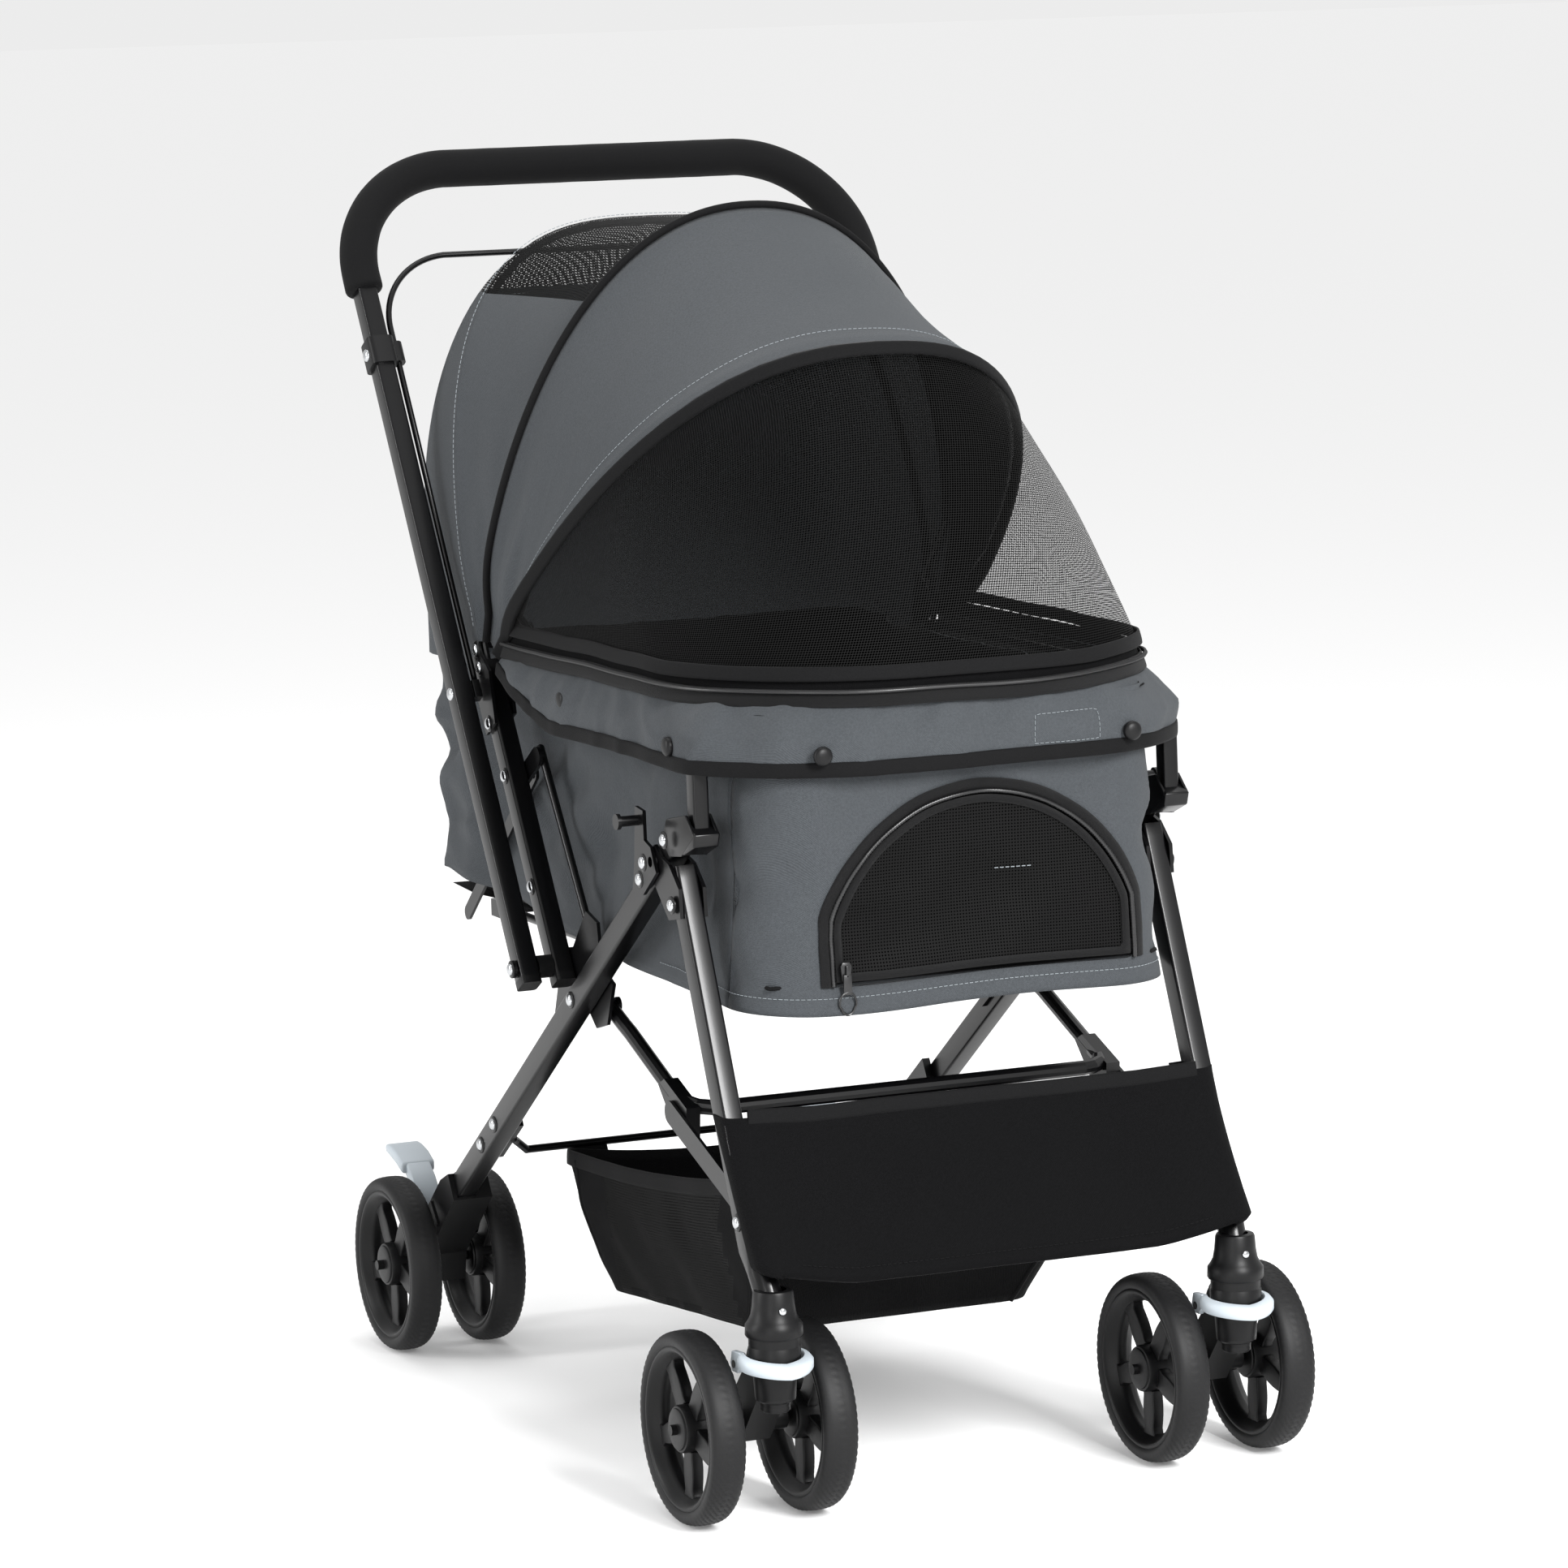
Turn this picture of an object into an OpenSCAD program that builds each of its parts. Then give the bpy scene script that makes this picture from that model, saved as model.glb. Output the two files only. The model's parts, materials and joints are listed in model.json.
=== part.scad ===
// Pet stroller: folding square-tube frame, fabric cabin with a three-bow canopy,
// reversible handle, twin-wheel casters. Front is -Y, up is +Z, ground is z = 0.
// Side-view points are [y, z] pairs. All sizes in millimetres.

/* [Wheels] */
// Wheel diameter over the tyre
wheel_d = 145; // [135:1:150]
// Tyre width
tyre_w = 27; // [22:1:30]
// Distance between the two wheels of a front caster
front_twin = 90; // [86:1:94]
// Distance between the two wheels of a rear pair
rear_twin = 74; // [70:1:78]

/* [Frame] */
// Half distance between the left and right leg tubes
leg_x = 195; // [193:1:197]
// Half distance between the handle arms
arm_x = 224; // [222:1:228]
// Leg tube width in the side plane
leg_w = 20; // [18:1:20]
// Leg tube thickness across
leg_t = 16; // [14:1:16]
// Tube wall
wall = 1.5; // [1:0.1:2]

/* [Handle] */
// Length of the handle from its pivot to the top bar
handle_len = 712.6; // [700:0.1:715]
// Foam grip radius
grip_r = 15.5; // [13:0.5:16]
// Bend radius at the top of the handle
handle_bend = 97; // [80:1:105]

/* [Cabin] */
// Half width of the fabric tub
tub_x = 170; // [165:1:170]
// Height of the tub's lower hem
tub_z0 = 383; // [380:1:390]
// Height of the tub's upper edge
tub_z1 = 596; // [590:1:596]
// Front face of the tub
tub_front_y = -326; // [-328:1:-320]
// Back face of the tub
tub_back_y = 300; // [290:1:300]
// Fabric thickness
cloth = 3; // [2:0.5:3]

/* [Canopy] */
// Half width of the canopy bows
bow_x = 203; // [195:1:204]
// Radius of a bow's rod
bow_r = 3; // [2.5:0.5:3]

/* [Hidden] */
$fn = 48;

black = "#1a1a1c";
grey_cloth = "#585e62";
eps = 0.06;

// Joint axes, seen from the side
g_pt = [-239, 497];
fold_pt = [-211, 477];
lift_pt = [13, 365];
hood_pt = [139, 588];
leg_end = [249, 140.7];
rear_axle = [314, wheel_d / 2];
front_axle = [-326, wheel_d / 2];
swivel_y = -377;
swivel_x = 191;
rear_x = 190;
brace_pt = [-44, 340];
knee_pt = [-180, 279];
link_pt = [-353, 214];
latch_pin = [-190, 506];
stay_top = [98, 505];
stay_end = [254, 372];
pedal_pt = [338, 112];
lock_pt = [-356, 124];

leg_ang = atan2(leg_end[1] - g_pt[1], leg_end[0] - g_pt[0]);
handle_ang = 58.72;
rear_bow_ang = 70.8;
mid_bow_ang = 103.8;
front_bow_ang = 140.2;
rear_bow_len = 362;
mid_bow_len = 365.5;
front_bow_len = 411;
rear_bow_k = 2.9;
mid_bow_k = 2.15;
front_bow_k = 2.4;
front_wheel_x = [-swivel_x - front_twin / 2, -swivel_x + front_twin / 2,
                 swivel_x - front_twin / 2, swivel_x + front_twin / 2];
rear_wheel_x = [-rear_x - rear_twin / 2, -rear_x + rear_twin / 2,
                rear_x - rear_twin / 2, rear_x + rear_twin / 2];

function ahead(p, ang, d, off = 0) =
  [p[0] + d * cos(ang) - off * sin(ang), p[1] + d * sin(ang) + off * cos(ang)];
function dist2(p, q) = norm([q[0] - p[0], q[1] - p[1]]);

module both() {
  children();
  mirror([1, 0, 0]) children();
}

// Hollow rectangular tube from p to q in the side plane at x
module tube_bar(x, p, q, w, t) {
  len = dist2(p, q);
  translate([x, p[0], p[1]])
    rotate([atan2(q[1] - p[1], q[0] - p[0]), 0, 0])
      difference() {
        translate([-t / 2, 0, -w / 2]) cube([t, len, w]);
        translate([wall - t / 2, -1, wall - w / 2]) cube([t - 2 * wall, len + 2, w - 2 * wall]);
      }
}

// Flat strap with round ends from p to q, between x0 and x1, with a hole of radius h at each end
module strap(x0, x1, p, q, w, h = 0) {
  len = dist2(p, q);
  translate([x0, p[0], p[1]])
    rotate([atan2(q[1] - p[1], q[0] - p[0]), 0, 0])
      rotate([90, 0, 90])
        linear_extrude(x1 - x0)
          difference() {
            union() {
              circle(w / 2);
              translate([len, 0]) circle(w / 2);
              translate([0, -w / 2]) square([len, w]);
            }
            if (h > 0) {
              circle(h);
              translate([len, 0]) circle(h);
            }
          }
}

// Round bar along X
module pin(x0, x1, p, r) {
  translate([x0, p[0], p[1]]) rotate([0, 90, 0]) cylinder(h = x1 - x0, r = r);
}

// Round rod between two 3-D points; the balls at its ends stand just proud of it
module rod(a, b, r) {
  d = b - a;
  translate(a)
    rotate([0, acos(d[2] / norm(d)), atan2(d[1], d[0])])
      cylinder(h = norm(d), r = r);
  translate(a) sphere(r * 1.04);
  translate(b) sphere(r * 1.04);
}

// Plate outline given as side-view points, between x0 and x1
module plate(x0, x1, pts) {
  translate([x0, 0, 0]) rotate([90, 0, 90]) linear_extrude(x1 - x0) polygon(pts);
}

// Closed skin between an outer and an inner grid of points
module skin(outer, inner) {
  rows = len(outer);
  n = len(outer[0]);
  base = rows * n;
  pts = concat([for (r = outer) each r], [for (r = inner) each r]);
  function id(r, i) = r * n + i;
  outer_faces = [for (r = [0:rows - 2]) for (i = [0:n - 2]) each [
    [id(r, i), id(r, i + 1), id(r + 1, i + 1)], [id(r, i), id(r + 1, i + 1), id(r + 1, i)]]];
  inner_faces = [for (f = outer_faces) [base + f[0], base + f[2], base + f[1]]];
  row_edge = [for (i = [0:n - 2]) each [
    [id(0, i + 1), id(0, i), base + id(0, i)], [id(0, i + 1), base + id(0, i), base + id(0, i + 1)],
    [id(rows - 1, i), id(rows - 1, i + 1), base + id(rows - 1, i + 1)],
    [id(rows - 1, i), base + id(rows - 1, i + 1), base + id(rows - 1, i)]]];
  end_edge = [for (r = [0:rows - 2]) each [
    [id(r, 0), id(r + 1, 0), base + id(r + 1, 0)], [id(r, 0), base + id(r + 1, 0), base + id(r, 0)],
    [id(r + 1, n - 1), id(r, n - 1), base + id(r, n - 1)],
    [id(r + 1, n - 1), base + id(r, n - 1), base + id(r + 1, n - 1)]]];
  polyhedron(pts, concat(outer_faces, inner_faces, row_edge, end_edge));
}

// Rod of radius r swept along points that lie close to a plane with normal n
module sweep(path, r, n, sides = 8) {
  last = len(path) - 1;
  rings = [for (i = [0:last])
    let (
      along = path[min(i + 1, last)] - path[max(i - 1, 0)],
      w = along / norm(along),
      u = cross(n, w) / norm(cross(n, w)),
      v = cross(w, u)
    )
    [for (j = [0:sides - 1])
      let (a = 360 * (j + 0.3) / sides)
      path[i] + r * (cos(a) * u + sin(a) * v)]];
  wallf = [for (i = [0:last - 1]) for (j = [0:sides - 1])
    let (a = i * sides + j, b = i * sides + (j + 1) % sides)
    each [[a, b + sides, b], [a, a + sides, b + sides]]];
  caps = [[for (j = [0:sides - 1]) j], [for (j = [sides - 1:-1:0]) last * sides + j]];
  polyhedron([for (r = rings) each r], concat(wallf, caps));
}

// ---------------------------------------------------------------- frame

module rear_legs() {
  color(black) both() {
    difference() {
      tube_bar(leg_x, ahead(g_pt, leg_ang, -8), leg_end, leg_w, leg_t);
      pin(leg_x - leg_t, leg_x + leg_t, fold_pt, 4);
      pin(leg_x - leg_t, leg_x + leg_t, g_pt, 4);
    }
    // post pin with its two heads
    pin(182.4, 207.6, g_pt, 4);
    pin(180, 182.4, g_pt, 6);
    pin(207.6, 210, g_pt, 6);
    // fold pin with its two heads
    pin(182.4, 213, fold_pt, 4);
    pin(180, 182.4, fold_pt, 7);
    pin(213, 215.5, fold_pt, 7);
  }
}

module leg_brackets() {
  color(black) both() {
    // bracket plate on the inner face of the leg, with the pivots of the upright and the brace
    plate(184.2, 187, [[-76, 362], [-62, 328], [-40, 322], [-22, 336], [40, 292], [46, 322],
                       [26, 376], [4, 380], [-24, 412], [-46, 406], [-52, 372]]);
    pin(187, 233, lift_pt, 4);
    pin(233, 236, lift_pt, 7);
    pin(171.5, 184.2, brace_pt, 4);
    pin(169, 171.5, brace_pt, 6);
  }
}

module latch_levers() {
  color(black) both() {
    difference() {
      plate(206.9, 209.7, [[-222, 470], [-212, 488], [-200, 492], [-199, 514], [-184, 516],
                           [-180, 470], [-176, 452], [-196, 450]]);
      pin(205, 212, fold_pt, 4 + eps);
    }
    pin(203, 206.9, [-190, 461], 3);
    pin(209.7, 225, latch_pin, 4);
    pin(225, 228, latch_pin, 6);
  }
}

module axle_housings() {
  color(black) both() {
    difference() {
      union() {
        plate(rear_x - 17, rear_x + 17, [[232, 138], [244, 158], [262, 150], [330, 90], [330, 56],
                                         [300, 56], [296, 80]]);
        for (x0 = [rear_x - 18.5, rear_x + 17])
          for (k = [0:3]) translate([x0, 268 + 13 * k, 112 - 12 * k])
            rotate([-41, 0, 0]) cube([1.5, 4, 22]);
      }
      // pocket for the end of the leg tube
      translate([leg_x, leg_end[0], leg_end[1]]) rotate([leg_ang, 0, 0])
        translate([-leg_t / 2, -60, -leg_w / 2]) cube([leg_t, 60, leg_w]);
      pin(rear_x - 30, rear_x + 30, rear_axle, 4);
    }
    pin(rear_x - 56, rear_x + 56, rear_axle, 4);
    // pedal pivot lugs
    for (x0 = [rear_x - 16, rear_x + 11])
      plate(x0, x0 + 5, [[318, 98], [328, 122], [346, 122], [346, 104], [329.5, 90]]);
    pin(rear_x - 11, rear_x + 11, pedal_pt, 3);
  }
}

module basket_rod() {
  color(black) both() {
    plate(180.2, 187, [[148, 232], [196, 197], [186, 180], [138, 214]]);
    rod([176, 166, 196], [165, 172, 187], 3.2);
    rod([176, 166, 196], [180, 162, 199], 3.2);
    translate([0, 172, 187]) rotate([0, 90, 0]) cylinder(h = 165, r = 3.2);
  }
}

// Basket under the cabin: sloping open tray, hung from the rear rod and the brace
basket_top = [[-259, 230], [168, 180]];
basket_low = [[-190, 103], [132, 76]];
basket_x = 141;
module basket() {
  w = basket_x;
  module block(inset, drop) {
    a = basket_top[0];
    b = basket_top[1];
    c = basket_low[0];
    d = basket_low[1];
    plate(-w + inset, w - inset, [[a[0] + inset, a[1] + drop], [b[0] - inset, b[1] + drop],
                                  [d[0] - inset, d[1] + inset], [c[0] + inset, c[1] + inset]]);
  }
  color("#151517") difference() {
    block(0, 0);
    difference() {
      block(cloth, 60);
      // keep the cavity above the floor only
      translate([-w, -400, 0]) cube([2 * w, 800, 20]);
    }
  }
}

// ---------------------------------------------------------------- front frame

j_top = [-236, 474];
j_low = [-351, 208];
module front_legs() {
  color(black) both() {
    tube_bar(leg_x, j_top, j_low, leg_w, leg_t);
    translate([leg_x, j_low[0], j_low[1]]) rotate([atan2(266, 115), 0, 0])
      translate([-leg_t / 2, -2, -leg_w / 2]) cube([leg_t, 2, leg_w]);
    rod([leg_x, -353, 200], [192, -369, 180], 8);
    rod([192, -369, 180], [swivel_x, swivel_y + 1, 168], 8);
    pin(183.5, 187, link_pt, 4);
    pin(180.8, 183.5, link_pt, 6);
  }
}

module pivot_plates() {
  j_in = [-247, 449];
  j_back = [-232, 444];
  color(black) both() {
    for (x0 = [203.4, 183.8])
      difference() {
        plate(x0, x0 + 2.8, [[-224, 482], [-212, 490], [-201, 484], [-199, 470], [-236, 436],
                             [-258, 440], [-256, 462], [-238, 478]]);
        pin(x0 - 1, x0 + 4, fold_pt, 4 + eps);
      }
    pin(206.2, 208.4, j_in, 5.5);
    pin(203, 203.4, j_in, 5.5);
    pin(186.6, 187, j_in, 5.5);
  }
}

module leg_sockets() {
  color(black) both() {
    difference() {
      union() {
        translate([swivel_x, swivel_y, 147]) cylinder(h = 12, r = 21);
        translate([swivel_x, swivel_y, 159]) cylinder(h = 21, r1 = 21, r2 = 14);
      }
      translate([swivel_x, swivel_y, 146]) cylinder(h = 14, r = 6 + eps);
    }
  }
}

// Fabric sling wrapped round both front legs
module front_panel() {
  color("#161618") difference() {
    plate(-205.4, 205.4, [[-327, 301], [-294, 301], [-338, 206], [-357, 190], [-388, 186], [-381, 206], [-372, 214]]);
    plate(-203.2, 203.2, [[-325, 302], [-297, 302], [-341, 205], [-358, 193], [-384, 189], [-378, 207], [-369, 214]]);
    // open at the back between the legs
    plate(-188, 188, [[-316, 340], [-270, 340], [-320, 180], [-352, 180]]);
  }
}

module brace_tube() {
  x0 = 177.6;
  cross_x = 152;
  low = [-205, 284];
  half = [[x0, brace_pt[0] + 7, brace_pt[1] + 2.5], [x0, -74, 329], [x0, -86, 325], [x0, -172, 290.5],
          [x0 - 2, -186, 287], [x0 - 8, -197, 285], [x0 - 17, -203, 284.2], [cross_x, low[0], low[1]]];
  n = len(half);
  path = [for (i = [0:2 * n - 1]) i < n ? [-half[i][0], half[i][1], half[i][2]] : half[2 * n - 1 - i]];
  color(black) {
    difference() {
      sweep(path, 6, [0, -0.38, 0.92], 12);
      both() pin(160, 200, brace_pt, 4 + eps);
    }
    // knee collars hanging below the tube
    both() plate(x0 - 5.8, x0 + 5.8, [[-152, 296], [-164, 302], [-206, 286], [-204, 262], [-186, 262]]);
  }
}

module brace_links() {
  color(black) both() difference() {
    strap(184, 186.6, knee_pt, link_pt, 18);
    pin(180, 190, link_pt, 4 + eps);
  }
}

// ---------------------------------------------------------------- upright

up_top = ahead(lift_pt, handle_ang, 262);
module uprights() {
  color(black) both() {
    difference() {
      tube_bar(leg_x, ahead(lift_pt, handle_ang, -12), up_top, 18, leg_t);
      pin(180, 210, lift_pt, 4 + eps);
      pin(180, 210, stay_top, 4);
    }
    // spacer bush between the upright and the handle arm
    difference() {
      pin(203, 215.6, lift_pt, 9);
      pin(200, 220, lift_pt, 4 + eps);
    }
    pin(176, 205.5, stay_top, 4);
  }
}

module back_stays() {
  lo = [180.7, -12, 402];
  hi = [180.7, 76, 528];
  color(black) both() {
    rod(lo, hi, 3.2);
    difference() {
      strap(183.8, 186.8, stay_top, [72, 522], 16);
      pin(180, 190, stay_top, 4);
    }
    pin(180, 183.8, [72, 522], 4);
  }
}

module hinge_brackets() {
  p = ahead(lift_pt, handle_ang, 205);
  color(black) both() {
    plate(203.2, 205.8, [ahead(p, handle_ang, 0, -11), ahead(p, handle_ang, 62, -11),
                         ahead(p, handle_ang, 66, 12), ahead(p, handle_ang, 40, 24),
                         ahead(p, handle_ang, 0, 12)]);
    plate(184.2, 186.8, [ahead(p, handle_ang, 8, -9), ahead(p, handle_ang, 62, -9),
                         ahead(p, handle_ang, 64, 18), ahead(p, handle_ang, 44, 20),
                         ahead(p, handle_ang, 8, 9)]);
    // canopy hinge pin, from the inner plate towards the cabin
    pin(172.6, 184.2, hood_pt, 4);
    pin(171.4, 172.6, hood_pt, 6);
  }
}

// Half of an arch as [across, along] pairs: a superellipse of half width x and height len, drawn in
// towards foot_x at its foot
arch_n = 26;
tab_len = 46;
function arch_half(len, x, k, foot_x, t0) = [
  for (i = [0:arch_n / 2])
    let (
      t = t0 + (90 - t0) * i * 2 / arch_n,
      d = len * pow(sin(t), 2 / k),
      w = x * pow(cos(t), 2 / k),
      near = max(0, min(1, 1 - (d - tab_len) / 60))
    )
    [w - (x - foot_x) * near * near, d]
];

// The whole arch in 3-D, from the left foot over to the right foot, at angle ang from the hinge
function arch(ang, len, x, k, foot_x = 184, t0 = 1.2) =
  let (h = arch_half(len, x, k, foot_x, t0))
  [for (i = [0:arch_n])
    let (p = i <= arch_n / 2 ? h[i] : h[arch_n - i], side = i < arch_n / 2 ? -1 : 1)
    [side * p[0], hood_pt[0] + p[1] * cos(ang), hood_pt[1] + p[1] * sin(ang)]];

// A canopy bow from its foot, a point [y, z] at foot_x on each side, over the arch
module bow(ang, len, k, foot_x, foot) {
  path = arch(ang, len, bow_x, k, foot_x, 0);
  sweep(concat([[-foot_x, foot[0], foot[1]]], [for (i = [1:arch_n - 1]) path[i]], [[foot_x, foot[0], foot[1]]]),
        bow_r, [0, -sin(ang), cos(ang)], 10);
}

// Flat tabs that carry a bow on the hinge pins
module bow_tabs(x0, x1, ang) {
  both() difference() {
    union() {
      pin(x0, x1, hood_pt, 9);
      plate(x0, x1, [ahead(hood_pt, ang, 0, 6.5), ahead(hood_pt, ang, tab_len + 3.2, 7.5),
                     ahead(hood_pt, ang, tab_len + 3.2, -7.5), ahead(hood_pt, ang, 0, -6.5)]);
    }
    pin(x0 - 1, x1 + 1, hood_pt, 4 + eps);
  }
}

module rear_bow() {
  plug = ahead(lift_pt, handle_ang, 244);
  color(black) {
    bow(rear_bow_ang, rear_bow_len, rear_bow_k, leg_x, ahead(lift_pt, handle_ang, 258));
    both() translate([leg_x, plug[0], plug[1]]) rotate([handle_ang, 0, 0])
      translate([-6.3, 0, -7.3]) cube([12.6, 19, 14.6]);
  }
}

module mid_bow() {
  color(black) {
    bow(mid_bow_ang, mid_bow_len, mid_bow_k, 178.6, ahead(hood_pt, mid_bow_ang, tab_len));
    bow_tabs(177, 180.2, mid_bow_ang);
  }
}

module front_bow() {
  color(black) {
    bow(front_bow_ang, front_bow_len, front_bow_k, 175.1, ahead(hood_pt, front_bow_ang, tab_len));
    bow_tabs(173, 176.4, front_bow_ang);
  }
}

// Points of the back arch, an upright inverted U at depth y, scaled about its base
function back_arch(y, x, z0, z1, s) = [
  for (i = [0:arch_n])
    let (
      t = 180 * i / arch_n,
      w = sign(90 - t) * pow(abs(cos(t)), 2 / 3.2),
      h = pow(sin(t), 2 / 3.2)
    )
    [-x * w * s, y, z0 + (z1 - z0) * h * s]
];

function mix(a, b, f) = a + (b - a) * f;

// The foot of a cloth arch stays this far up the bows
function lifted(row, z) = [for (p = row) [p[0], p[1], max(p[2], z)]];

// Cloth stretched straight from arch a to arch b, as rows + 1 arches
function stretched(a, b, rows) = [for (k = [0:rows]) [for (i = [0:arch_n]) mix(a[i], b[i], k / rows)]];

module canopy_rear() {
  function rows(o) = concat(
    stretched(lifted(arch(mid_bow_ang - 2.2, mid_bow_len + o, bow_x + o, mid_bow_k, 192 + o), 601),
              lifted(arch(rear_bow_ang, rear_bow_len + o, bow_x + o, rear_bow_k, 197 + o), 601), 2),
    [back_arch(272 + o, 192 + o, 601, 921 + o, 1), back_arch(tub_back_y - 6 + o, 176 + o, 601, 885 + o, 1),
     back_arch(tub_back_y - 3 + o, 176 + o, 601, 880 + o, 0.6),
     back_arch(tub_back_y - 3 + o, 176 + o, 601, 880 + o, 0.05)]);
  color(grey_cloth) skin(rows(5.6), rows(3.4));
}

module canopy_hood() {
  function rows(o) =
    stretched(lifted(arch(mid_bow_ang + 2.2, mid_bow_len + o, bow_x + o, mid_bow_k, 192 + o), 604),
              lifted(arch(front_bow_ang + 0.3, front_bow_len + o + 2.8, bow_x + o + 1, front_bow_k, 193 + o), 604), 2);
  color(grey_cloth) skin(rows(5.6), rows(3.4));
}

// Rim line of the cabin as the same count of points as an arch
rim_x = 196;
rim_front = -338;
rim_r = 66;
function rim_row(o, z) = [
  for (i = [0:arch_n])
    let (
      f = i / arch_n,
      side = f < 0.5 ? -1 : 1,
      g = f < 0.5 ? f : 1 - f,
      a = (g - 0.22) / 0.16 * 90,
      y1 = rim_front + rim_r,
      px = g < 0.22 ? rim_x : g < 0.38 ? rim_x - rim_r + rim_r * cos(a) : (rim_x - rim_r) * (0.5 - g) / 0.12,
      py = g < 0.22 ? 96 + (y1 - 96) * g / 0.22 : g < 0.38 ? y1 - rim_r * sin(a) : rim_front
    )
    [side * (px + o), py - (g > 0.2 ? o : 0), z]
];

module window_mesh() {
  function top(o) = lifted(arch(front_bow_ang + 1.4, front_bow_len + o, bow_x + o, front_bow_k, 190 + o), 620);
  function rows(o) = [
    top(o),
    [for (i = [0:arch_n])
      (top(o)[i] + rim_row(o, 618)[i]) / 2 + [0, -10 * sin(180 * i / arch_n), 4 * sin(180 * i / arch_n)]],
    rim_row(o, 618)
  ];
  color("#202022") skin(rows(3.2), rows(1.2));
}

// ---------------------------------------------------------------- cabin

// Plan outline of a U open to the rear, half width x, front face y0, corner radius r, back end y1
module u_plan(x, y0, r, y1) {
  translate([-x, y0 + r]) square([2 * x, y1 - y0 - r]);
  translate([-(x - r), y0]) square([2 * (x - r), r + 1]);
  for (s = [-1, 1]) translate([s * (x - r), y0 + r]) circle(r, $fn = 96);
}

module u_wall(x, y0, r, y1, t) {
  difference() {
    u_plan(x, y0, r, y1);
    translate([0, 0]) u_plan(x - t, y0 + t, r - t, y1 + 1);
  }
}

module rim_rail() {
  z = 601;
  x = 174.2;
  r = 80;
  front = -318;
  color(black) {
    both() {
      translate([x, front + r, z]) rotate([-90, 0, 0]) cylinder(h = 100 - front - r, r = 3);
      translate([171.2, 88, 598]) cube([12.6, 12, 6]);
      translate([x - r, front + r, z]) rotate([0, 0, -90]) rotate_extrude(angle = 90) translate([r, 0]) circle(3);
      // hinge strap to the upright's pin
      difference() {
        union() {
          plate(181, 183.8, [[88, 596], [88, 606], [136, 596.8], [139, 579.2], [128, 584], [112, 592]]);
          pin(181, 183.8, hood_pt, 9);
        }
        pin(170, 190, hood_pt, 4 + eps);
      }
    }
    translate([-(x - r), front, z]) rotate([0, 90, 0]) cylinder(h = 2 * (x - r), r = 3);
  }
}

tub_corner = 50;
module tub_walls() {
  front = tub_front_y + tub_corner;
  color(grey_cloth) {
    both() plate(tub_x - cloth, tub_x, [[front, tub_z0], [60, tub_z0 + 6], [tub_back_y - cloth, tub_z0 + 24],
                                        [tub_back_y - cloth, tub_z1], [front, tub_z1]]);
    translate([-tub_x, tub_back_y - cloth, tub_z0 + 24]) cube([2 * tub_x, cloth, tub_z1 - tub_z0 - 24]);
  }
}

// Arched outline of the front door, grown by o
door_cx = 8;
door_w = 124;
door_z0 = 392;
door_z1 = 528;
module door_shape(o) {
  ry = 86 + o;
  translate([door_cx - door_w - o, door_z0 - o]) square([2 * (door_w + o), door_z1 - 86 - door_z0 + o]);
  intersection() {
    translate([door_cx - door_w - o, door_z1 - 86 - 1]) square([2 * (door_w + o), ry + 2]);
    translate([door_cx, door_z1 + o - (door_w + o) * 1.06]) circle((door_w + o) * 1.06, $fn = 96);
  }
}

module tub_front() {
  color(grey_cloth) difference() {
    translate([0, 0, tub_z0]) linear_extrude(tub_z1 - tub_z0)
      difference() {
        u_plan(tub_x, tub_front_y, tub_corner, tub_front_y + tub_corner + 0.01);
        u_plan(tub_x - cloth, tub_front_y + cloth, tub_corner - cloth, tub_front_y + tub_corner + 40);
        translate([-300, tub_front_y + tub_corner]) square([600, 100]);
      }
    translate([0, tub_front_y + 20, 0]) rotate([90, 0, 0]) linear_extrude(40) door_shape(0);
  }
}

module skirt() {
  color(grey_cloth) translate([0, 0, 548]) linear_extrude(58) u_wall(206.4, -347, 90, 96, cloth);
}

module rim_zip() {
  color(black) translate([0, 0, 607]) linear_extrude(8) u_wall(rim_x + 6, -343, 66, 96, 10);
}

module snaps() {
  color(black) {
    for (p = [[-240, 560], [-34, 574]]) both() pin(206.4, 209.5, p, 7);
    for (x = [-122, 122]) translate([x, -347, 556]) rotate([90, 0, 0]) cylinder(h = 3.5, r = 7);
  }
}

puller_pt = [2, 590];
module rim_puller() {
  color(black) {
    pin(207, 209, puller_pt, 4);
    strap(207, 209, puller_pt, [puller_pt[0], 578], 7);
  }
}

module floor_rails() {
  z = 374;
  x = 150;
  front = -296;
  color(black) {
    both() {
      translate([x, front, z]) rotate([-90, 0, 0]) cylinder(h = 526, r = 3.5);
      translate([x - 1.5, 230, z - 9]) cube([3, 40, 14]);
    }
    translate([-x, front, z]) rotate([0, 90, 0]) cylinder(h = 2 * x, r = 3.5);
    translate([-x, 268, z - 9]) cube([2 * x, 3, 14]);
  }
}

module floor_pad() {
  color("#3c4043") translate([0, 0, 386]) linear_extrude(16)
    u_plan(tub_x - 8, tub_front_y + 8, tub_corner - 4, tub_back_y - 8);
}

door_hinge = [tub_front_y + 1.4, door_z0 + 2.4];
module door_flap() {
  color("#202022") {
    translate([0, tub_front_y + 2.4, 0]) rotate([90, 0, 0]) linear_extrude(2) door_shape(-1.2);
    // piped hem along the fold line
    pin(door_cx - door_w + 2.2, door_cx + door_w - 2.2, door_hinge, 1.3);
  }
}

module door_puller() {
  color(black) translate([door_cx - door_w + 10, tub_front_y - 2.2, 0]) {
    translate([0, 0, 404]) rotate([90, 0, 0]) cylinder(h = 2, r = 4);
    translate([-3, -2, 380]) cube([6, 2, 24]);
  }
}

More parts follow.
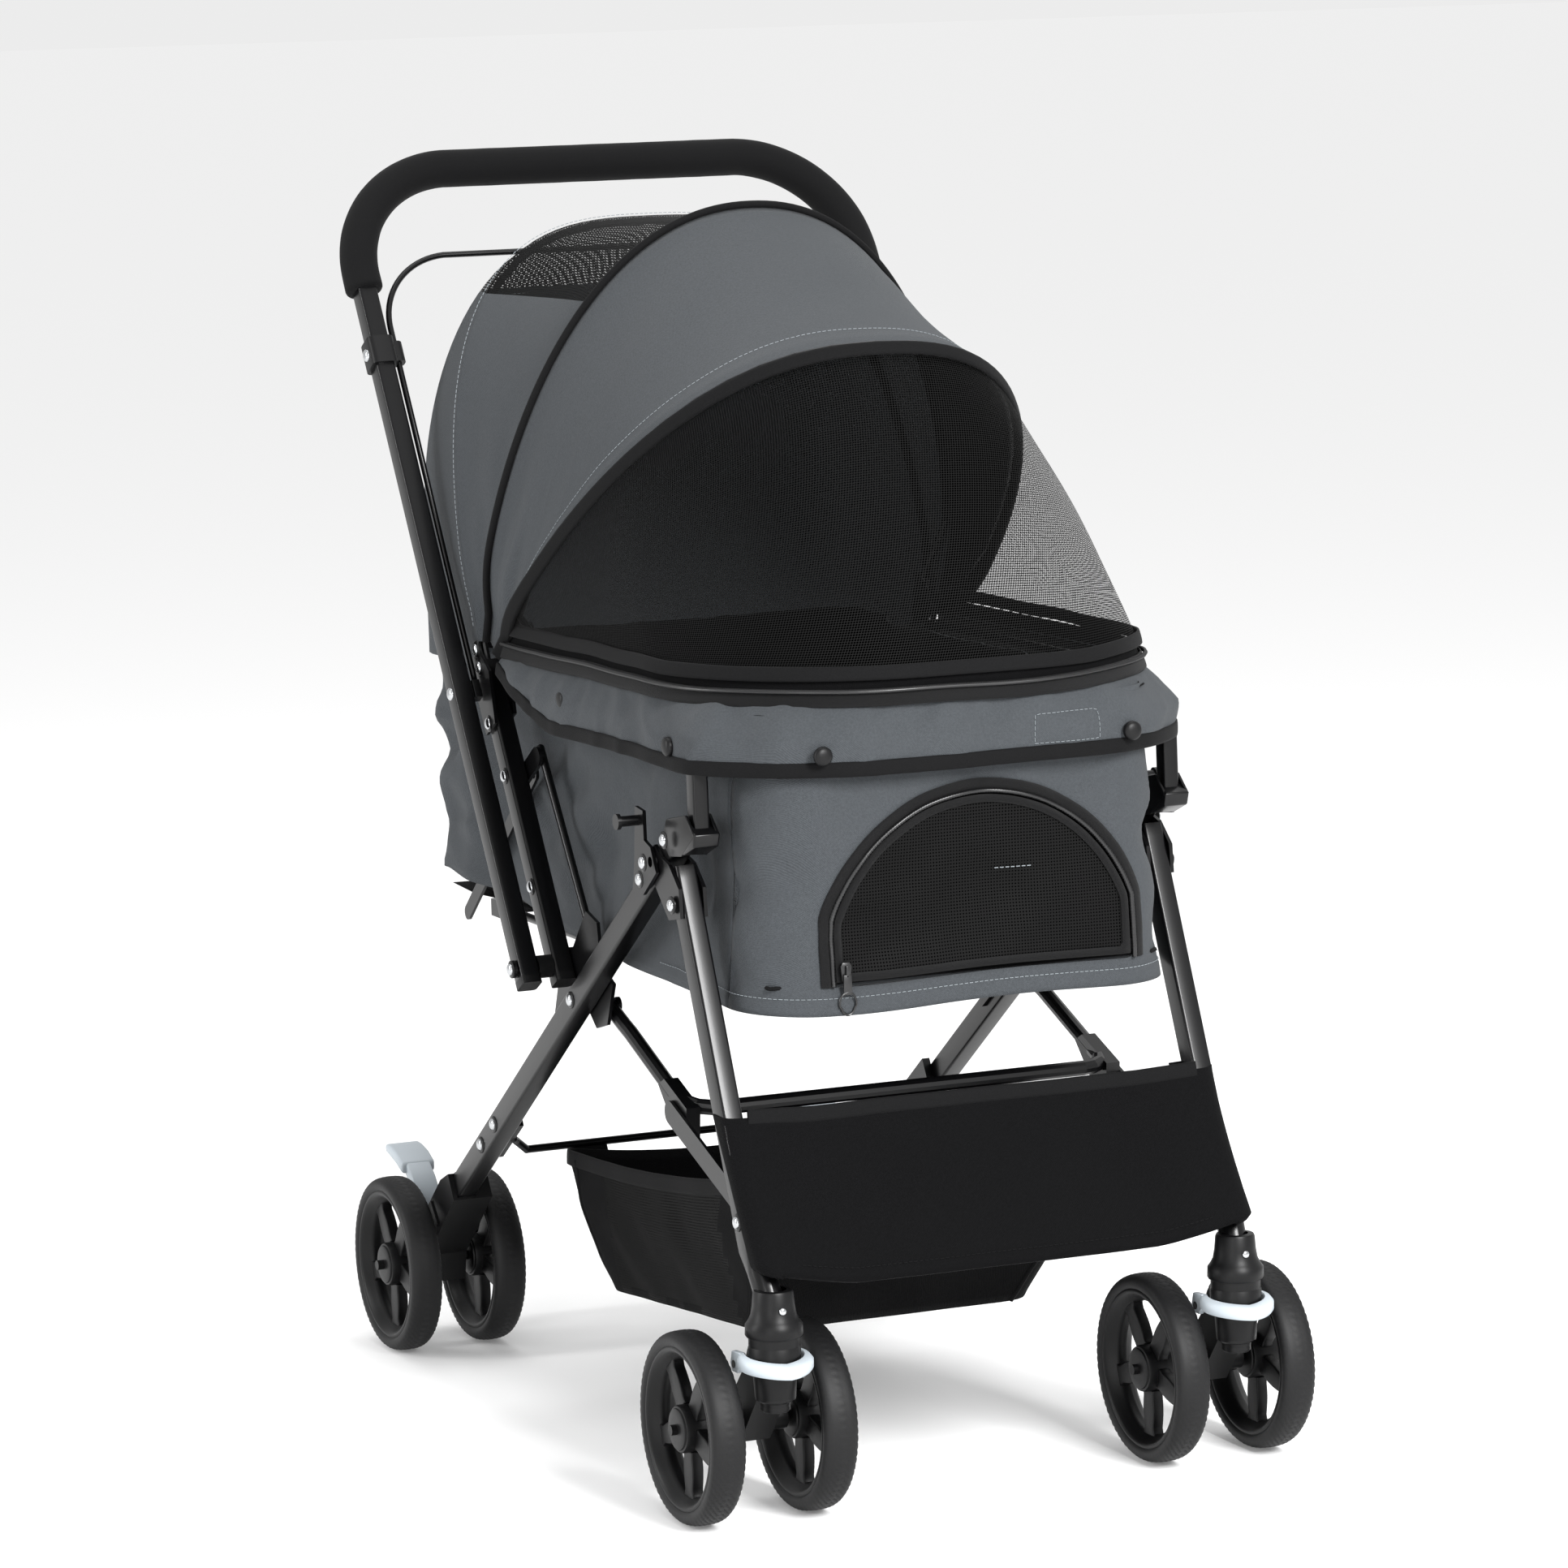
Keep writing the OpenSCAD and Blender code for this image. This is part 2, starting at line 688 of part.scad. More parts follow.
module front_posts() {
  top = [-268, 590];
  foot = [-271, 503];
  color(black) both() {
    tube_bar(leg_x, foot, top, 14, 12);
    // foot block in front of the leg's end, and two cheeks beside the leg
    plate(184.2, 205.8, [[-287, 506], [-272, 512], [-260, 505], [-258, 489], [-264, 488], [-284, 496]]);
    for (x0 = [184.2, 203.2]) difference() {
      plate(x0, x0 + 2.6, [[-286, 505], [-270, 519], [-234, 512], [-226, 496], [-238, 484], [-261, 487]]);
      pin(x0 - 1, x0 + 4, g_pt, 4 + eps);
    }
  }
}

module floor_stays() {
  color(black) both() difference() {
    strap(176.2, 178.8, stay_top, stay_end, 12);
    pin(170, 182, stay_top, 4 + eps);
  }
}

// ---------------------------------------------------------------- handle

// Handle parts are drawn along +Y from the pivot and turned up to the handle's angle
module on_handle() {
  translate([0, lift_pt[0], lift_pt[1]]) rotate([handle_ang, 0, 0]) children();
}

module ring_profile(r, bore) {
  difference() {
    circle(r);
    if (bore > 0) circle(bore);
  }
}

// U of round section: top bar at distance len, legs at +-x from start, bends of radius b
module u_bar(x, len, start, b, r, bore = 0) {
  for (s = [0, 1]) mirror([s, 0, 0]) {
    translate([x, start, 0]) rotate([-90, 0, 0]) linear_extrude(len - b - start) ring_profile(r, bore);
    translate([x - b, len - b, 0]) rotate_extrude(angle = 90) translate([b, 0]) ring_profile(r, bore);
  }
  translate([-(x - b), len, 0]) rotate([0, 90, 0]) linear_extrude(2 * (x - b)) ring_profile(r, bore);
}

module handle_tube() {
  color(black) {
    on_handle() {
      for (s = [0, 1]) mirror([s, 0, 0]) difference() {
        translate([arm_x - 8, -12, -9]) cube([16, 612, 18]);
        translate([arm_x - 8 + wall, -13, -9 + wall]) cube([16 - 2 * wall, 611, 18 - 2 * wall]);
        translate([arm_x - 20, 0, 0]) rotate([0, 90, 0]) cylinder(h = 40, r = 4 + eps);
      }
      u_bar(arm_x, handle_len, 600, handle_bend, 8);
    }
  }
}

module grip() {
  color("#0f0f10") on_handle() u_bar(arm_x, handle_len, 601, handle_bend, grip_r, 8);
}

wire_x = 209.4;
module wire_clips() {
  color(black) on_handle() for (s = [0, 1]) mirror([s, 0, 0]) difference() {
    translate([wire_x - 5.4, 530, -12]) cube([arm_x + 11 - wire_x + 5.4, 26, 24]);
    translate([arm_x - 8, 529, -9]) cube([16, 28, 18]);
    translate([wire_x, 520, 0]) rotate([-90, 0, 0]) cylinder(h = 50, r = 2.5 + 2 * eps);
  }
}

module release_wire() {
  color(black) on_handle() {
    u_bar(wire_x, 632, 246, 66, 2.5);
    for (s = [0, 1]) mirror([s, 0, 0]) translate([207, 232, -5]) cube([7, 14, 10]);
  }
}

// ---------------------------------------------------------------- wheels

module at_side(side) {
  if (side > 0) children();
  else mirror([1, 0, 0]) children();
}

module caster(side) {
  color(black) at_side(side) {
    translate([swivel_x, swivel_y, 100]) cylinder(h = 40, r = 15);
    translate([swivel_x, swivel_y, 92]) cylinder(h = 8, r = 11);
    translate([swivel_x, swivel_y, 140]) cylinder(h = 6.6, r = 19);
    translate([swivel_x, swivel_y, 146.6]) cylinder(h = 12, r = 6);
    plate(swivel_x - 12, swivel_x + 12, [[swivel_y + 6, 138], [swivel_y + 22, 134], [swivel_y + 30, 118], [front_axle[0] + 14, 80],
                                         [front_axle[0] + 12, 60], [front_axle[0] - 12, 60], [swivel_y + 6, 100]]);
    pin(swivel_x - 63, swivel_x + 63, front_axle, 4);
    pin(swivel_x - 29, swivel_x + 29, front_axle, 9);
    pin(swivel_x - 24, swivel_x + 24, lock_pt, 3);
  }
}

// Crescent lever that locks the swivel
module lock(side) {
  color("#d2d8dc") at_side(side) {
    difference() {
      translate([swivel_x, swivel_y, 126]) cylinder(h = 8, r = 28);
      translate([swivel_x, swivel_y, 125]) cylinder(h = 10, r = 20.5);
      translate([swivel_x - 40, swivel_y + 14, 120]) cube([80, 40, 20]);
    }
    difference() {
      for (x0 = [swivel_x - 23.4, swivel_x + 18.6])
        translate([x0, swivel_y + 10, 118]) cube([4.8, 18, 16]);
      pin(swivel_x - 30, swivel_x + 30, lock_pt, 3 + eps);
    }
  }
}

module pedal(side) {
  color("#c8ced2") at_side(side) difference() {
    union() {
      plate(rear_x - 10.6, rear_x + 10.6, [[332, 106], [330, 118], [346, 136], [372, 151], [396, 155],
                                           [396, 149], [376, 144], [352, 128], [346, 106]]);
    }
    pin(rear_x - 20, rear_x + 20, pedal_pt, 3 + eps);
  }
}

module tyre(x, axle) {
  half = tyre_w / 2;
  outer = wheel_d / 2;
  color("#151516") translate([x, axle[0], axle[1]]) rotate([0, 90, 0]) rotate_extrude($fn = 96)
    polygon([[61, -half + 2], [64, -half], [68, -half + 1], [outer - 1.2, -half + 5], [outer, -half + 9],
             [outer, half - 9], [outer - 1.2, half - 5], [68, half - 1], [64, half], [61, half - 2]]);
}

module rim(x, axle, side) {
  color("#1c1c1e") translate([x, axle[0], axle[1]]) rotate([0, 90, 0]) {
    rotate_extrude($fn = 96) polygon([[52, -10], [61, -11.5], [61, 11.5], [52, 10]]);
    difference() {
      cylinder(h = 24, r = 18, center = true);
      translate([0, 0, -20]) cylinder(h = 40, r = 4 + eps);
    }
    for (k = [0:4]) rotate([0, 0, 72 * k]) translate([17.4, -6.5, -4]) cube([35.4, 13, 8]);
  }
}

module caster_l() { caster(-1); }
module caster_r() { caster(1); }
module lock_l() { lock(-1); }
module lock_r() { lock(1); }
module pedal_l() { pedal(-1); }
module pedal_r() { pedal(1); }
module tyre_f1() { tyre(front_wheel_x[0], front_axle); }
module tyre_f2() { tyre(front_wheel_x[1], front_axle); }
module tyre_f3() { tyre(front_wheel_x[2], front_axle); }
module tyre_f4() { tyre(front_wheel_x[3], front_axle); }
module tyre_r1() { tyre(rear_wheel_x[0], rear_axle); }
module tyre_r2() { tyre(rear_wheel_x[1], rear_axle); }
module tyre_r3() { tyre(rear_wheel_x[2], rear_axle); }
module tyre_r4() { tyre(rear_wheel_x[3], rear_axle); }
module rim_f1() { rim(front_wheel_x[0], front_axle); }
module rim_f2() { rim(front_wheel_x[1], front_axle); }
module rim_f3() { rim(front_wheel_x[2], front_axle); }
module rim_f4() { rim(front_wheel_x[3], front_axle); }
module rim_r1() { rim(rear_wheel_x[0], rear_axle); }
module rim_r2() { rim(rear_wheel_x[1], rear_axle); }
module rim_r3() { rim(rear_wheel_x[2], rear_axle); }
module rim_r4() { rim(rear_wheel_x[3], rear_axle); }

rear_legs();
leg_brackets();
latch_levers();
axle_housings();
basket_rod();
basket();
front_legs();
pivot_plates();
leg_sockets();
front_panel();
brace_tube();
brace_links();
uprights();
back_stays();
hinge_brackets();
rear_bow();
canopy_rear();
floor_stays();
rim_rail();
tub_walls();
tub_front();
skirt();
rim_zip();
snaps();
rim_puller();
floor_rails();
floor_pad();
door_flap();
door_puller();
front_posts();
handle_tube();
grip();
wire_clips();
release_wire();
mid_bow();
canopy_hood();
front_bow();
window_mesh();
caster_l();
caster_r();
lock_l();
lock_r();
pedal_l();
pedal_r();
tyre_f1();
tyre_f2();
tyre_f3();
tyre_f4();
tyre_r1();
tyre_r2();
tyre_r3();
tyre_r4();
rim_f1();
rim_f2();
rim_f3();
rim_f4();
rim_r1();
rim_r2();
rim_r3();
rim_r4();
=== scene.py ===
import bpy
import bmesh
import json
import math
from math import sin, cos, pi, radians
from mathutils import Vector, Matrix, noise
from mathutils.geometry import delaunay_2d_cdt


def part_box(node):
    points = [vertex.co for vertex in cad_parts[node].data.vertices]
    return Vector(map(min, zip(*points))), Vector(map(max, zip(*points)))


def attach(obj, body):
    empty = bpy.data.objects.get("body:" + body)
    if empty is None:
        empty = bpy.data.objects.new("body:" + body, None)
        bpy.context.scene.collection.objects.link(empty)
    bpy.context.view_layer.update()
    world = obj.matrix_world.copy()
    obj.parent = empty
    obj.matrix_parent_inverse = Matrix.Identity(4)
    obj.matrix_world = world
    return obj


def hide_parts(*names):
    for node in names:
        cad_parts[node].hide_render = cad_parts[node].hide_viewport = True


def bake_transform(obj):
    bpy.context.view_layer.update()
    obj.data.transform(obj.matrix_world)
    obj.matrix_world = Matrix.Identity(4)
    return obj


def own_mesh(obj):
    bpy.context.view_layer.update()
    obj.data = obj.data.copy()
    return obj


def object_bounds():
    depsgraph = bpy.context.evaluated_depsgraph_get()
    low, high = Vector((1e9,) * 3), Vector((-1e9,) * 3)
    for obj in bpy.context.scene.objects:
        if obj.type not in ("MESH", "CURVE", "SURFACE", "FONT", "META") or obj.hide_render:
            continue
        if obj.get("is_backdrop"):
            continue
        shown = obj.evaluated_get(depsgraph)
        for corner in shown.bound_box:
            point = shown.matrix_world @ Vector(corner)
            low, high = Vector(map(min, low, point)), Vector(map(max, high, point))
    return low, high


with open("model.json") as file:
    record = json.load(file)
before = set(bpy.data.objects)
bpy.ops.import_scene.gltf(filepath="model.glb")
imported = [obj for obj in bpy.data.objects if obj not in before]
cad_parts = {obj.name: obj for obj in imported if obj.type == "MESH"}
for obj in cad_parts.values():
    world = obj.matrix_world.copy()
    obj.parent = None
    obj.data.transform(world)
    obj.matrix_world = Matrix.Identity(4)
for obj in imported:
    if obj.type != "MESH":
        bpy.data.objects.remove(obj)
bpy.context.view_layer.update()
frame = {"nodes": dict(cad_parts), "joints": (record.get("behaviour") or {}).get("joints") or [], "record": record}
J = {j["name"]: j for j in frame["joints"]}
HOOD = Vector(J["canopy_mid_fold"]["pos_m"])
LIFT = Vector(J["handle_turn"]["pos_m"])
V = Vector

# Canopy bows: angle about the hood hinge in degrees, length, squareness of the arch
MID = (103.8, 0.3655, 2.15)
FRONT = (140.2, 0.411, 2.4)
REAR = (70.8, 0.362, 2.9)
HOOD_ROWS = 26
ARCH_STEPS = 600  # fine steps along an arch before it is resampled
SEAM = 0.878  # height of the vent's lower edge
NS = 221  # points along the skirt
TS = 15  # rows down the skirt
NR = 34  # rows down the tub
HALF_N = 900  # points round half of the tub
CX, CW, DZ0, DZ1 = 0.008, 0.124, 0.392, 0.528  # door: centre, half width, foot and top
LX = 0.195  # middle of a leg from the centre
RIM_R, RIM_END = 0.158, 0.1  # corner radius of the rim in plan, and where its sides end
SKIRT_X, SKIRT_Y, SKIRT_Z = 0.2065, -0.3465, 0.548  # lower edge of the skirt
Z_FOOT = 0.586  # foot of the back cloth
NET_ROWS, NET_N = 24, 121
COIL_N = 1150  # steps along the zip coil
SWIVEL_X, SWIVEL_Y = 0.191, -0.377
TREAD = 288  # steps round a tyre
SPOKES = 5
SIDES = ((-1, "left"), (1, "right"))


def clip(x):
    # x held between 0 and 1
    return min(1.0, max(0.0, x))


def mm(*points):
    # points given in millimetres, returned in metres
    return [tuple(c / 1000 for c in p) for p in points]


# ---------------------------------------------------------------- materials
def lin(c):
    # sRGB to linear
    return c / 12.92 if c <= 0.04045 else ((c + 0.055) / 1.055) ** 2.4


def rgb(r, g, b):
    return (lin(r / 255), lin(g / 255), lin(b / 255), 1)


def set_inputs(node, values):
    for k, v in values.items():
        node.inputs[k.replace("_", " ")].default_value = v
    return node


def shader(nt, kind, **values):
    # new shader node with its inputs set
    return set_inputs(nt.nodes.new("ShaderNode" + kind), values)


def surface(name, **values):
    # new material, its node tree and its main shader with inputs set
    m = bpy.data.materials.new(name)
    m.use_nodes = True
    return m, m.node_tree, set_inputs(m.node_tree.nodes["Principled BSDF"], values)


def material(name, color, rough, metal=0.0, bump=0.0, scale=800.0, kind="noise", sheen=0.0, vary=0.0,
        spec=0.5, coat=0.0):
    m, nt, bs = surface(name, Base_Color=color, Roughness=rough, Metallic=metal, Specular_IOR_Level=spec,
        Coat_Weight=coat, Coat_Roughness=0.15, Sheen_Weight=sheen, Sheen_Roughness=0.45)
    link = nt.links.new
    tc = shader(nt, "TexCoord")
    if vary > 0:
        n = shader(nt, "TexNoise", Scale=700, Detail=3)
        r = shader(nt, "MapRange", From_Min=0.3, From_Max=0.7, To_Min=1 - vary, To_Max=1 + vary)
        x = shader(nt, "Mix")
        x.data_type = "RGBA"
        x.blend_type = "MULTIPLY"
        x.inputs[0].default_value = 1
        x.inputs[6].default_value = color
        link(tc.outputs["Object"], n.inputs["Vector"])
        link(n.outputs["Fac"], r.inputs["Value"])
        link(r.outputs["Result"], x.inputs[7])
        link(x.outputs[2], bs.inputs["Base Color"])
    if bump > 0:
        b = shader(nt, "Bump", Strength=bump, Distance=0.0004)
        if kind == "noise":
            t = shader(nt, "TexNoise", Detail=4, Scale=scale)
        else:
            t = shader(nt, "TexWave", Distortion=1.5, Scale=scale)
            t.bands_direction = "DIAGONAL"
        link(tc.outputs["Object"], t.inputs["Vector"])
        link(t.outputs["Fac"], b.inputs["Height"])
        link(b.outputs["Normal"], bs.inputs["Normal"])
    return m


def mesh_material(name, color, pitch, hole):
    # open net: round holes in a UV grid laid out in metres
    m, nt, bs = surface(name, Base_Color=color, Roughness=0.7, Specular_IOR_Level=0.12)
    link = nt.links.new
    uv = shader(nt, "UVMap")
    sc, fr, ds = (shader(nt, "VectorMath") for _ in range(3))
    sc.operation, fr.operation, ds.operation = "SCALE", "FRACTION", "DISTANCE"
    sc.inputs["Scale"].default_value = 1 / pitch
    ds.inputs[1].default_value = (0.5, 0.5, 0)
    lt = shader(nt, "Math")
    lt.operation = "LESS_THAN"
    lt.inputs[1].default_value = hole
    mx = shader(nt, "MixShader")
    link(uv.outputs["UV"], sc.inputs[0])
    link(sc.outputs["Vector"], fr.inputs[0])
    link(fr.outputs["Vector"], ds.inputs[0])
    link(ds.outputs["Value"], lt.inputs[0])
    link(lt.outputs["Value"], mx.inputs["Fac"])
    link(bs.outputs["BSDF"], mx.inputs[1])
    link(shader(nt, "BsdfTransparent").outputs["BSDF"], mx.inputs[2])
    link(mx.outputs["Shader"], nt.nodes["Material Output"].inputs["Surface"])
    return m


M = {
    "black_paint": material("black_paint", rgb(5, 5, 6), 0.3, 0.0, 0.05, 90, spec=0.24, coat=0.1),
    "black_plastic": material("black_plastic", rgb(9, 9, 10), 0.42, 0.0, 0.12, 1500, spec=0.22),
    "grey_fabric": material("grey_fabric", rgb(59, 62, 65), 0.78, 0.0, 0.6, 400, "wave", 0.05, 0.14, 0.14),
    "black_fabric": material("black_fabric", rgb(7, 7, 8), 0.85, 0.0, 0.6, 420, "wave", 0.01, 0.3, 0.08),
    "black_binding": material("black_binding", rgb(10, 10, 11), 0.8, 0.0, 0.7, 1300, "noise", 0.02, 0.2,
                              0.12),
    "zip_tape": material("zip_tape", rgb(11, 11, 12), 0.75, 0.0, 0.6, 1500, "wave", 0.03, 0.2, 0.2),
    "zip_coil": material("zip_coil", rgb(15, 15, 16), 0.35, 0.0, 0.0, spec=0.5),
    "pad_fabric": material("pad_fabric", rgb(52, 55, 58), 0.9, 0.0, 0.5, 700, "noise", 0.2, 0.2, 0.2),
    "foam": material("foam", rgb(9, 9, 10), 0.85, 0.0, 0.35, 2200, "noise", 0.02, 0.1, 0.14),
    "grey_plastic": material("grey_plastic", rgb(172, 180, 186), 0.42, 0.0, 0.05, 400, spec=0.4),
    "tyre": material("tyre", rgb(14, 14, 15), 0.55, 0.0, 0.2, 1200, "noise", 0.0, 0.1, 0.28),
    "zinc": material("zinc", rgb(186, 188, 190), 0.22, 1.0, 0.04, 300),
    "thread": material("thread", rgb(128, 134, 138), 0.8),
    "black_mesh": mesh_material("black_mesh", rgb(5, 5, 5), 0.0021, 0.4),
    "dark_mesh": mesh_material("dark_mesh", rgb(5, 5, 5), 0.0024, 0.27),
}
FABRIC, BINDING, GREY = "black_fabric", "black_binding", "grey_fabric"
PLASTIC, PAINT = "black_plastic", "black_paint"
SLOT = {s["node"]: s["material_slot"] for s in frame["record"]["subparts"]}
for n, o in frame["nodes"].items():
    o.data.materials.clear()
    o.data.materials.append(M[BINDING if SLOT[n] == FABRIC else SLOT[n]])


# ---------------------------------------------------------------- builders
def dress(o, body=None, slot=None, *nodes):
    # put a piece on its body and hide the CAD nodes it stands for
    if body:
        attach(o, body)
    if nodes:
        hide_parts(*nodes)
    return o


def smooth_all(o):
    o.data.polygons.foreach_set("use_smooth", [True] * len(o.data.polygons))
    return o


def clean(o, merge=None):
    # weld points closer than merge and turn every face outward
    bm = bmesh.new()
    bm.from_mesh(o.data)
    if merge:
        bmesh.ops.remove_doubles(bm, verts=bm.verts, dist=merge)
    bmesh.ops.recalc_face_normals(bm, faces=bm.faces)
    bm.to_mesh(o.data)
    bm.free()
    return o


def make(name, verts, faces, mat, body=None, slot=None, smooth=True, uv=None):
    me = bpy.data.meshes.new(name)
    me.from_pydata([tuple(v) for v in verts], [], faces)
    me.validate()
    o = bpy.data.objects.new(name, me)
    bpy.context.collection.objects.link(o)
    for m in (mat if isinstance(mat, (list, tuple)) else [mat]):
        me.materials.append(M[m])
    if smooth:
        smooth_all(o)
    if uv:
        layer = me.uv_layers.new(name="UVMap")
        for l in me.loops:
            layer.data[l.index].uv = uv[l.vertex_index]
    return dress(o, body, slot)


def quads(n, k, close, turned=False):
    # faces between n rows of k points, wrapped round each row if close
    faces = []
    for a in range(n - 1):
        for b in range(k if close else k - 1):
            c = (b + 1) % k
            q = (a * k + b, a * k + c, (a + 1) * k + c, (a + 1) * k + b)
            faces.append((q[0], q[3], q[2], q[1]) if turned else q)
    return faces


def grid(name, rows, mat, body=None, slot=None, close=False, uv=True, flip=False):
    n, k = len(rows), len(rows[0])
    verts = [p for r in rows for p in r]
    faces = [q[::-1] if flip else q for q in quads(n, k, close)]
    uvs = None
    if uv:
        uvs = []
        vs = [0.0]
        for a in range(1, n):
            vs.append(vs[-1] + (V(rows[a][k // 2]) - V(rows[a - 1][k // 2])).length)
        for a in range(n):
            u = 0.0
            for b in range(k):
                if b:
                    u += (V(rows[a][b]) - V(rows[a][b - 1])).length
                uvs.append((u, vs[a]))
    return make(name, verts, faces, mat, body, slot, True, uvs)


def thick(o, t, offset=0.0, lining=0):
    m = o.modifiers.new("thick", "SOLIDIFY")
    m.thickness, m.offset, m.material_offset = t, offset, lining
    return o


def lined(o, t=0.0012):
    # cloth whose back face takes the next material
    return thick(o, t, -1, 1)


def apply_mods(o):
    # bake the modifiers into the mesh
    dg = bpy.context.evaluated_depsgraph_get()
    me = bpy.data.meshes.new_from_object(o.evaluated_get(dg), preserve_all_data_layers=True, depsgraph=dg)
    o.modifiers.clear()
    o.data = me
    return o


def resample(pts, n):
    # n points evenly spaced along the line
    pts = [V(p) for p in pts]
    d = [0.0]
    for a, b in zip(pts, pts[1:]):
        d.append(d[-1] + (b - a).length)
    out, j = [], 0
    for i in range(n):
        t = d[-1] * i / (n - 1)
        while j < len(pts) - 2 and d[j + 1] < t:
            j += 1
        s = (t - d[j]) / max(1e-9, d[j + 1] - d[j])
        out.append(pts[j].lerp(pts[j + 1], clip(s)))
    return out


def arc(x, y, r, a0, n):
    # quarter circle in plan about x, y from angle a0, as n steps
    return [V((x + r * cos(a), y + r * sin(a), 0)) for a in [a0 + pi / 2 * i / n for i in range(n + 1)]]


def bezier(ps, t):
    # point at t on the curve with control points ps
    while len(ps) > 1:
        ps = [p.lerp(q, t) for p, q in zip(ps, ps[1:])]
    return ps[0]


def length(pts):
    return sum((V(b) - V(a)).length for a, b in zip(pts, pts[1:]))


def frames(pts, closed=False):
    # each point with two directions across the path and one along it
    pts = [V(p) for p in pts]
    n = len(pts)
    out, last = [], None
    for i in range(n):
        a = pts[i - 1] if (i or closed) else pts[0]
        b = pts[(i + 1) % n] if (i < n - 1 or closed) else pts[-1]
        w = (b - a).normalized()
        if last is None:
            ref = V((0, 0, 1)) if abs(w.z) < 0.9 else V((1, 0, 0))
        else:
            ref = last
        v = (ref - w * ref.dot(w)).normalized()
        u = v.cross(w)
        last = v
        out.append((pts[i], u, v, w))
    return out


def tube(name, pts, r, mat, body=None, slot=None, sides=10, closed=False, wave=None):
    rows = []
    for i, (p, u, v, _) in enumerate(frames(pts, closed)):
        rr = r * (wave(i) if wave else 1)
        rows.append([p + u * rr * cos(2 * pi * j / sides) + v * rr * sin(2 * pi * j / sides)
            for j in range(sides)])
    k, n = sides, len(rows)
    verts = [q for row in rows for q in row]
    faces = []
    for a in range(n if closed else n - 1):
        for b in range(k):
            c = (b + 1) % k
            a2 = (a + 1) % n
            faces.append((a * k + b, a2 * k + b, a2 * k + c, a * k + c))
    if not closed:
        faces.append(tuple(range(k)))
        faces.append(tuple(range((n - 1) * k, n * k))[::-1])
    return make(name, verts, faces, mat, body, slot)


def ribbon(name, pts, normals, width, t, mat, body=None, slot=None, centre=0.0):
    # flat tape: width along the in-surface side direction, thickness along the normal, rounded edges
    rows = []
    n = len(pts)
    for i in range(n):
        w = (V(pts[min(i + 1, n - 1)]) - V(pts[max(i - 1, 0)])).normalized()
        nn = V(normals[i])
        nn = (nn - w * nn.dot(w)).normalized()
        s = nn.cross(w)
        prof = [(-0.5, 0), (-0.46, 0.8), (-0.3, 1), (0, 1.05), (0.3, 1), (0.46, 0.8), (0.5, 0),
            (0.46, -0.6), (0, -0.8), (-0.46, -0.6)]
        rows.append([V(pts[i]) + s * (a + centre) * width + nn * b * t for a, b in prof])
    return grid(name, rows, mat, body, slot, close=True, uv=False)


def stitches(name, pts, normals, body, pitch=0.0042, long=0.0028, r=0.00028, lift=0.0003, mat="thread"):
    total = length(pts)
    n = max(2, int(total / pitch))
    line = resample(pts, n * 3 + 1)
    nm = resample(normals, n * 3 + 1) if len(normals) == len(pts) else normals
    verts, faces = [], []
    for i in range(n):
        a, b = line[i * 3], line[i * 3].lerp(line[i * 3 + 3], long / pitch)
        w = (b - a)
        if w.length < 1e-6:
            continue
        w.normalize()
        z = V(nm[i * 3]).normalized()
        s = z.cross(w)
        base = len(verts)
        for p in (a, b):
            for du, dv in ((-1, 0), (0, 1), (1, 0), (0, -1)):
                verts.append(p + s * du * r + z * (dv * r + lift))
        for q in range(4):
            c = (q + 1) % 4
            faces.append((base + q, base + 4 + q, base + 4 + c, base + c))
        faces.append((base, base + 1, base + 2, base + 3))
        faces.append((base + 7, base + 6, base + 5, base + 4))
    return make(name, verts, faces, mat, body, smooth=False)


def lathe(name, prof, mat, centre, axis="X", seg=48, body=None, slot=None, arc=2 * pi, fn=None):
    rows = []
    full = abs(arc - 2 * pi) < 1e-6
    for i in range(seg if full else seg + 1):
        a = arc * i / seg
        row = []
        for h, r in prof:
            if fn:
                r = r + fn(a, h, r)
            if axis == "X":
                row.append(V(centre) + V((h, r * cos(a), r * sin(a))))
            elif axis == "Z":
                row.append(V(centre) + V((r * cos(a), r * sin(a), h)))
            else:
                row.append(V(centre) + V((r * cos(a), h, r * sin(a))))
        rows.append(row)
    if full:
        rows.append(rows[0])
    o = grid(name, rows, mat, None, None, uv=False)
    clean(o, 1e-6)
    return dress(o, body, slot)


def sharp(o, deg=35):
    # keep edges steeper than deg crisp
    o.data.set_sharp_from_angle(angle=radians(deg))
    return o


def join(objs, name):
    # one object from several, each keeping its materials
    bm = bmesh.new()
    mats = []
    for o in objs:
        me = o.data.copy()
        me.transform(o.matrix_world)
        for m in me.materials:
            if m not in mats:
                mats.append(m)
        remap = [mats.index(m) for m in me.materials]
        for p in me.polygons:
            p.material_index = remap[p.material_index]
        bm.from_mesh(me)
        bpy.data.meshes.remove(me)
    out = bpy.data.meshes.new(name)
    bm.to_mesh(out)
    bm.free()
    for m in mats:
        out.materials.append(m)
    for o in objs:
        bpy.data.objects.remove(o)
    o = bpy.data.objects.new(name, out)
    bpy.context.collection.objects.link(o)
    return o


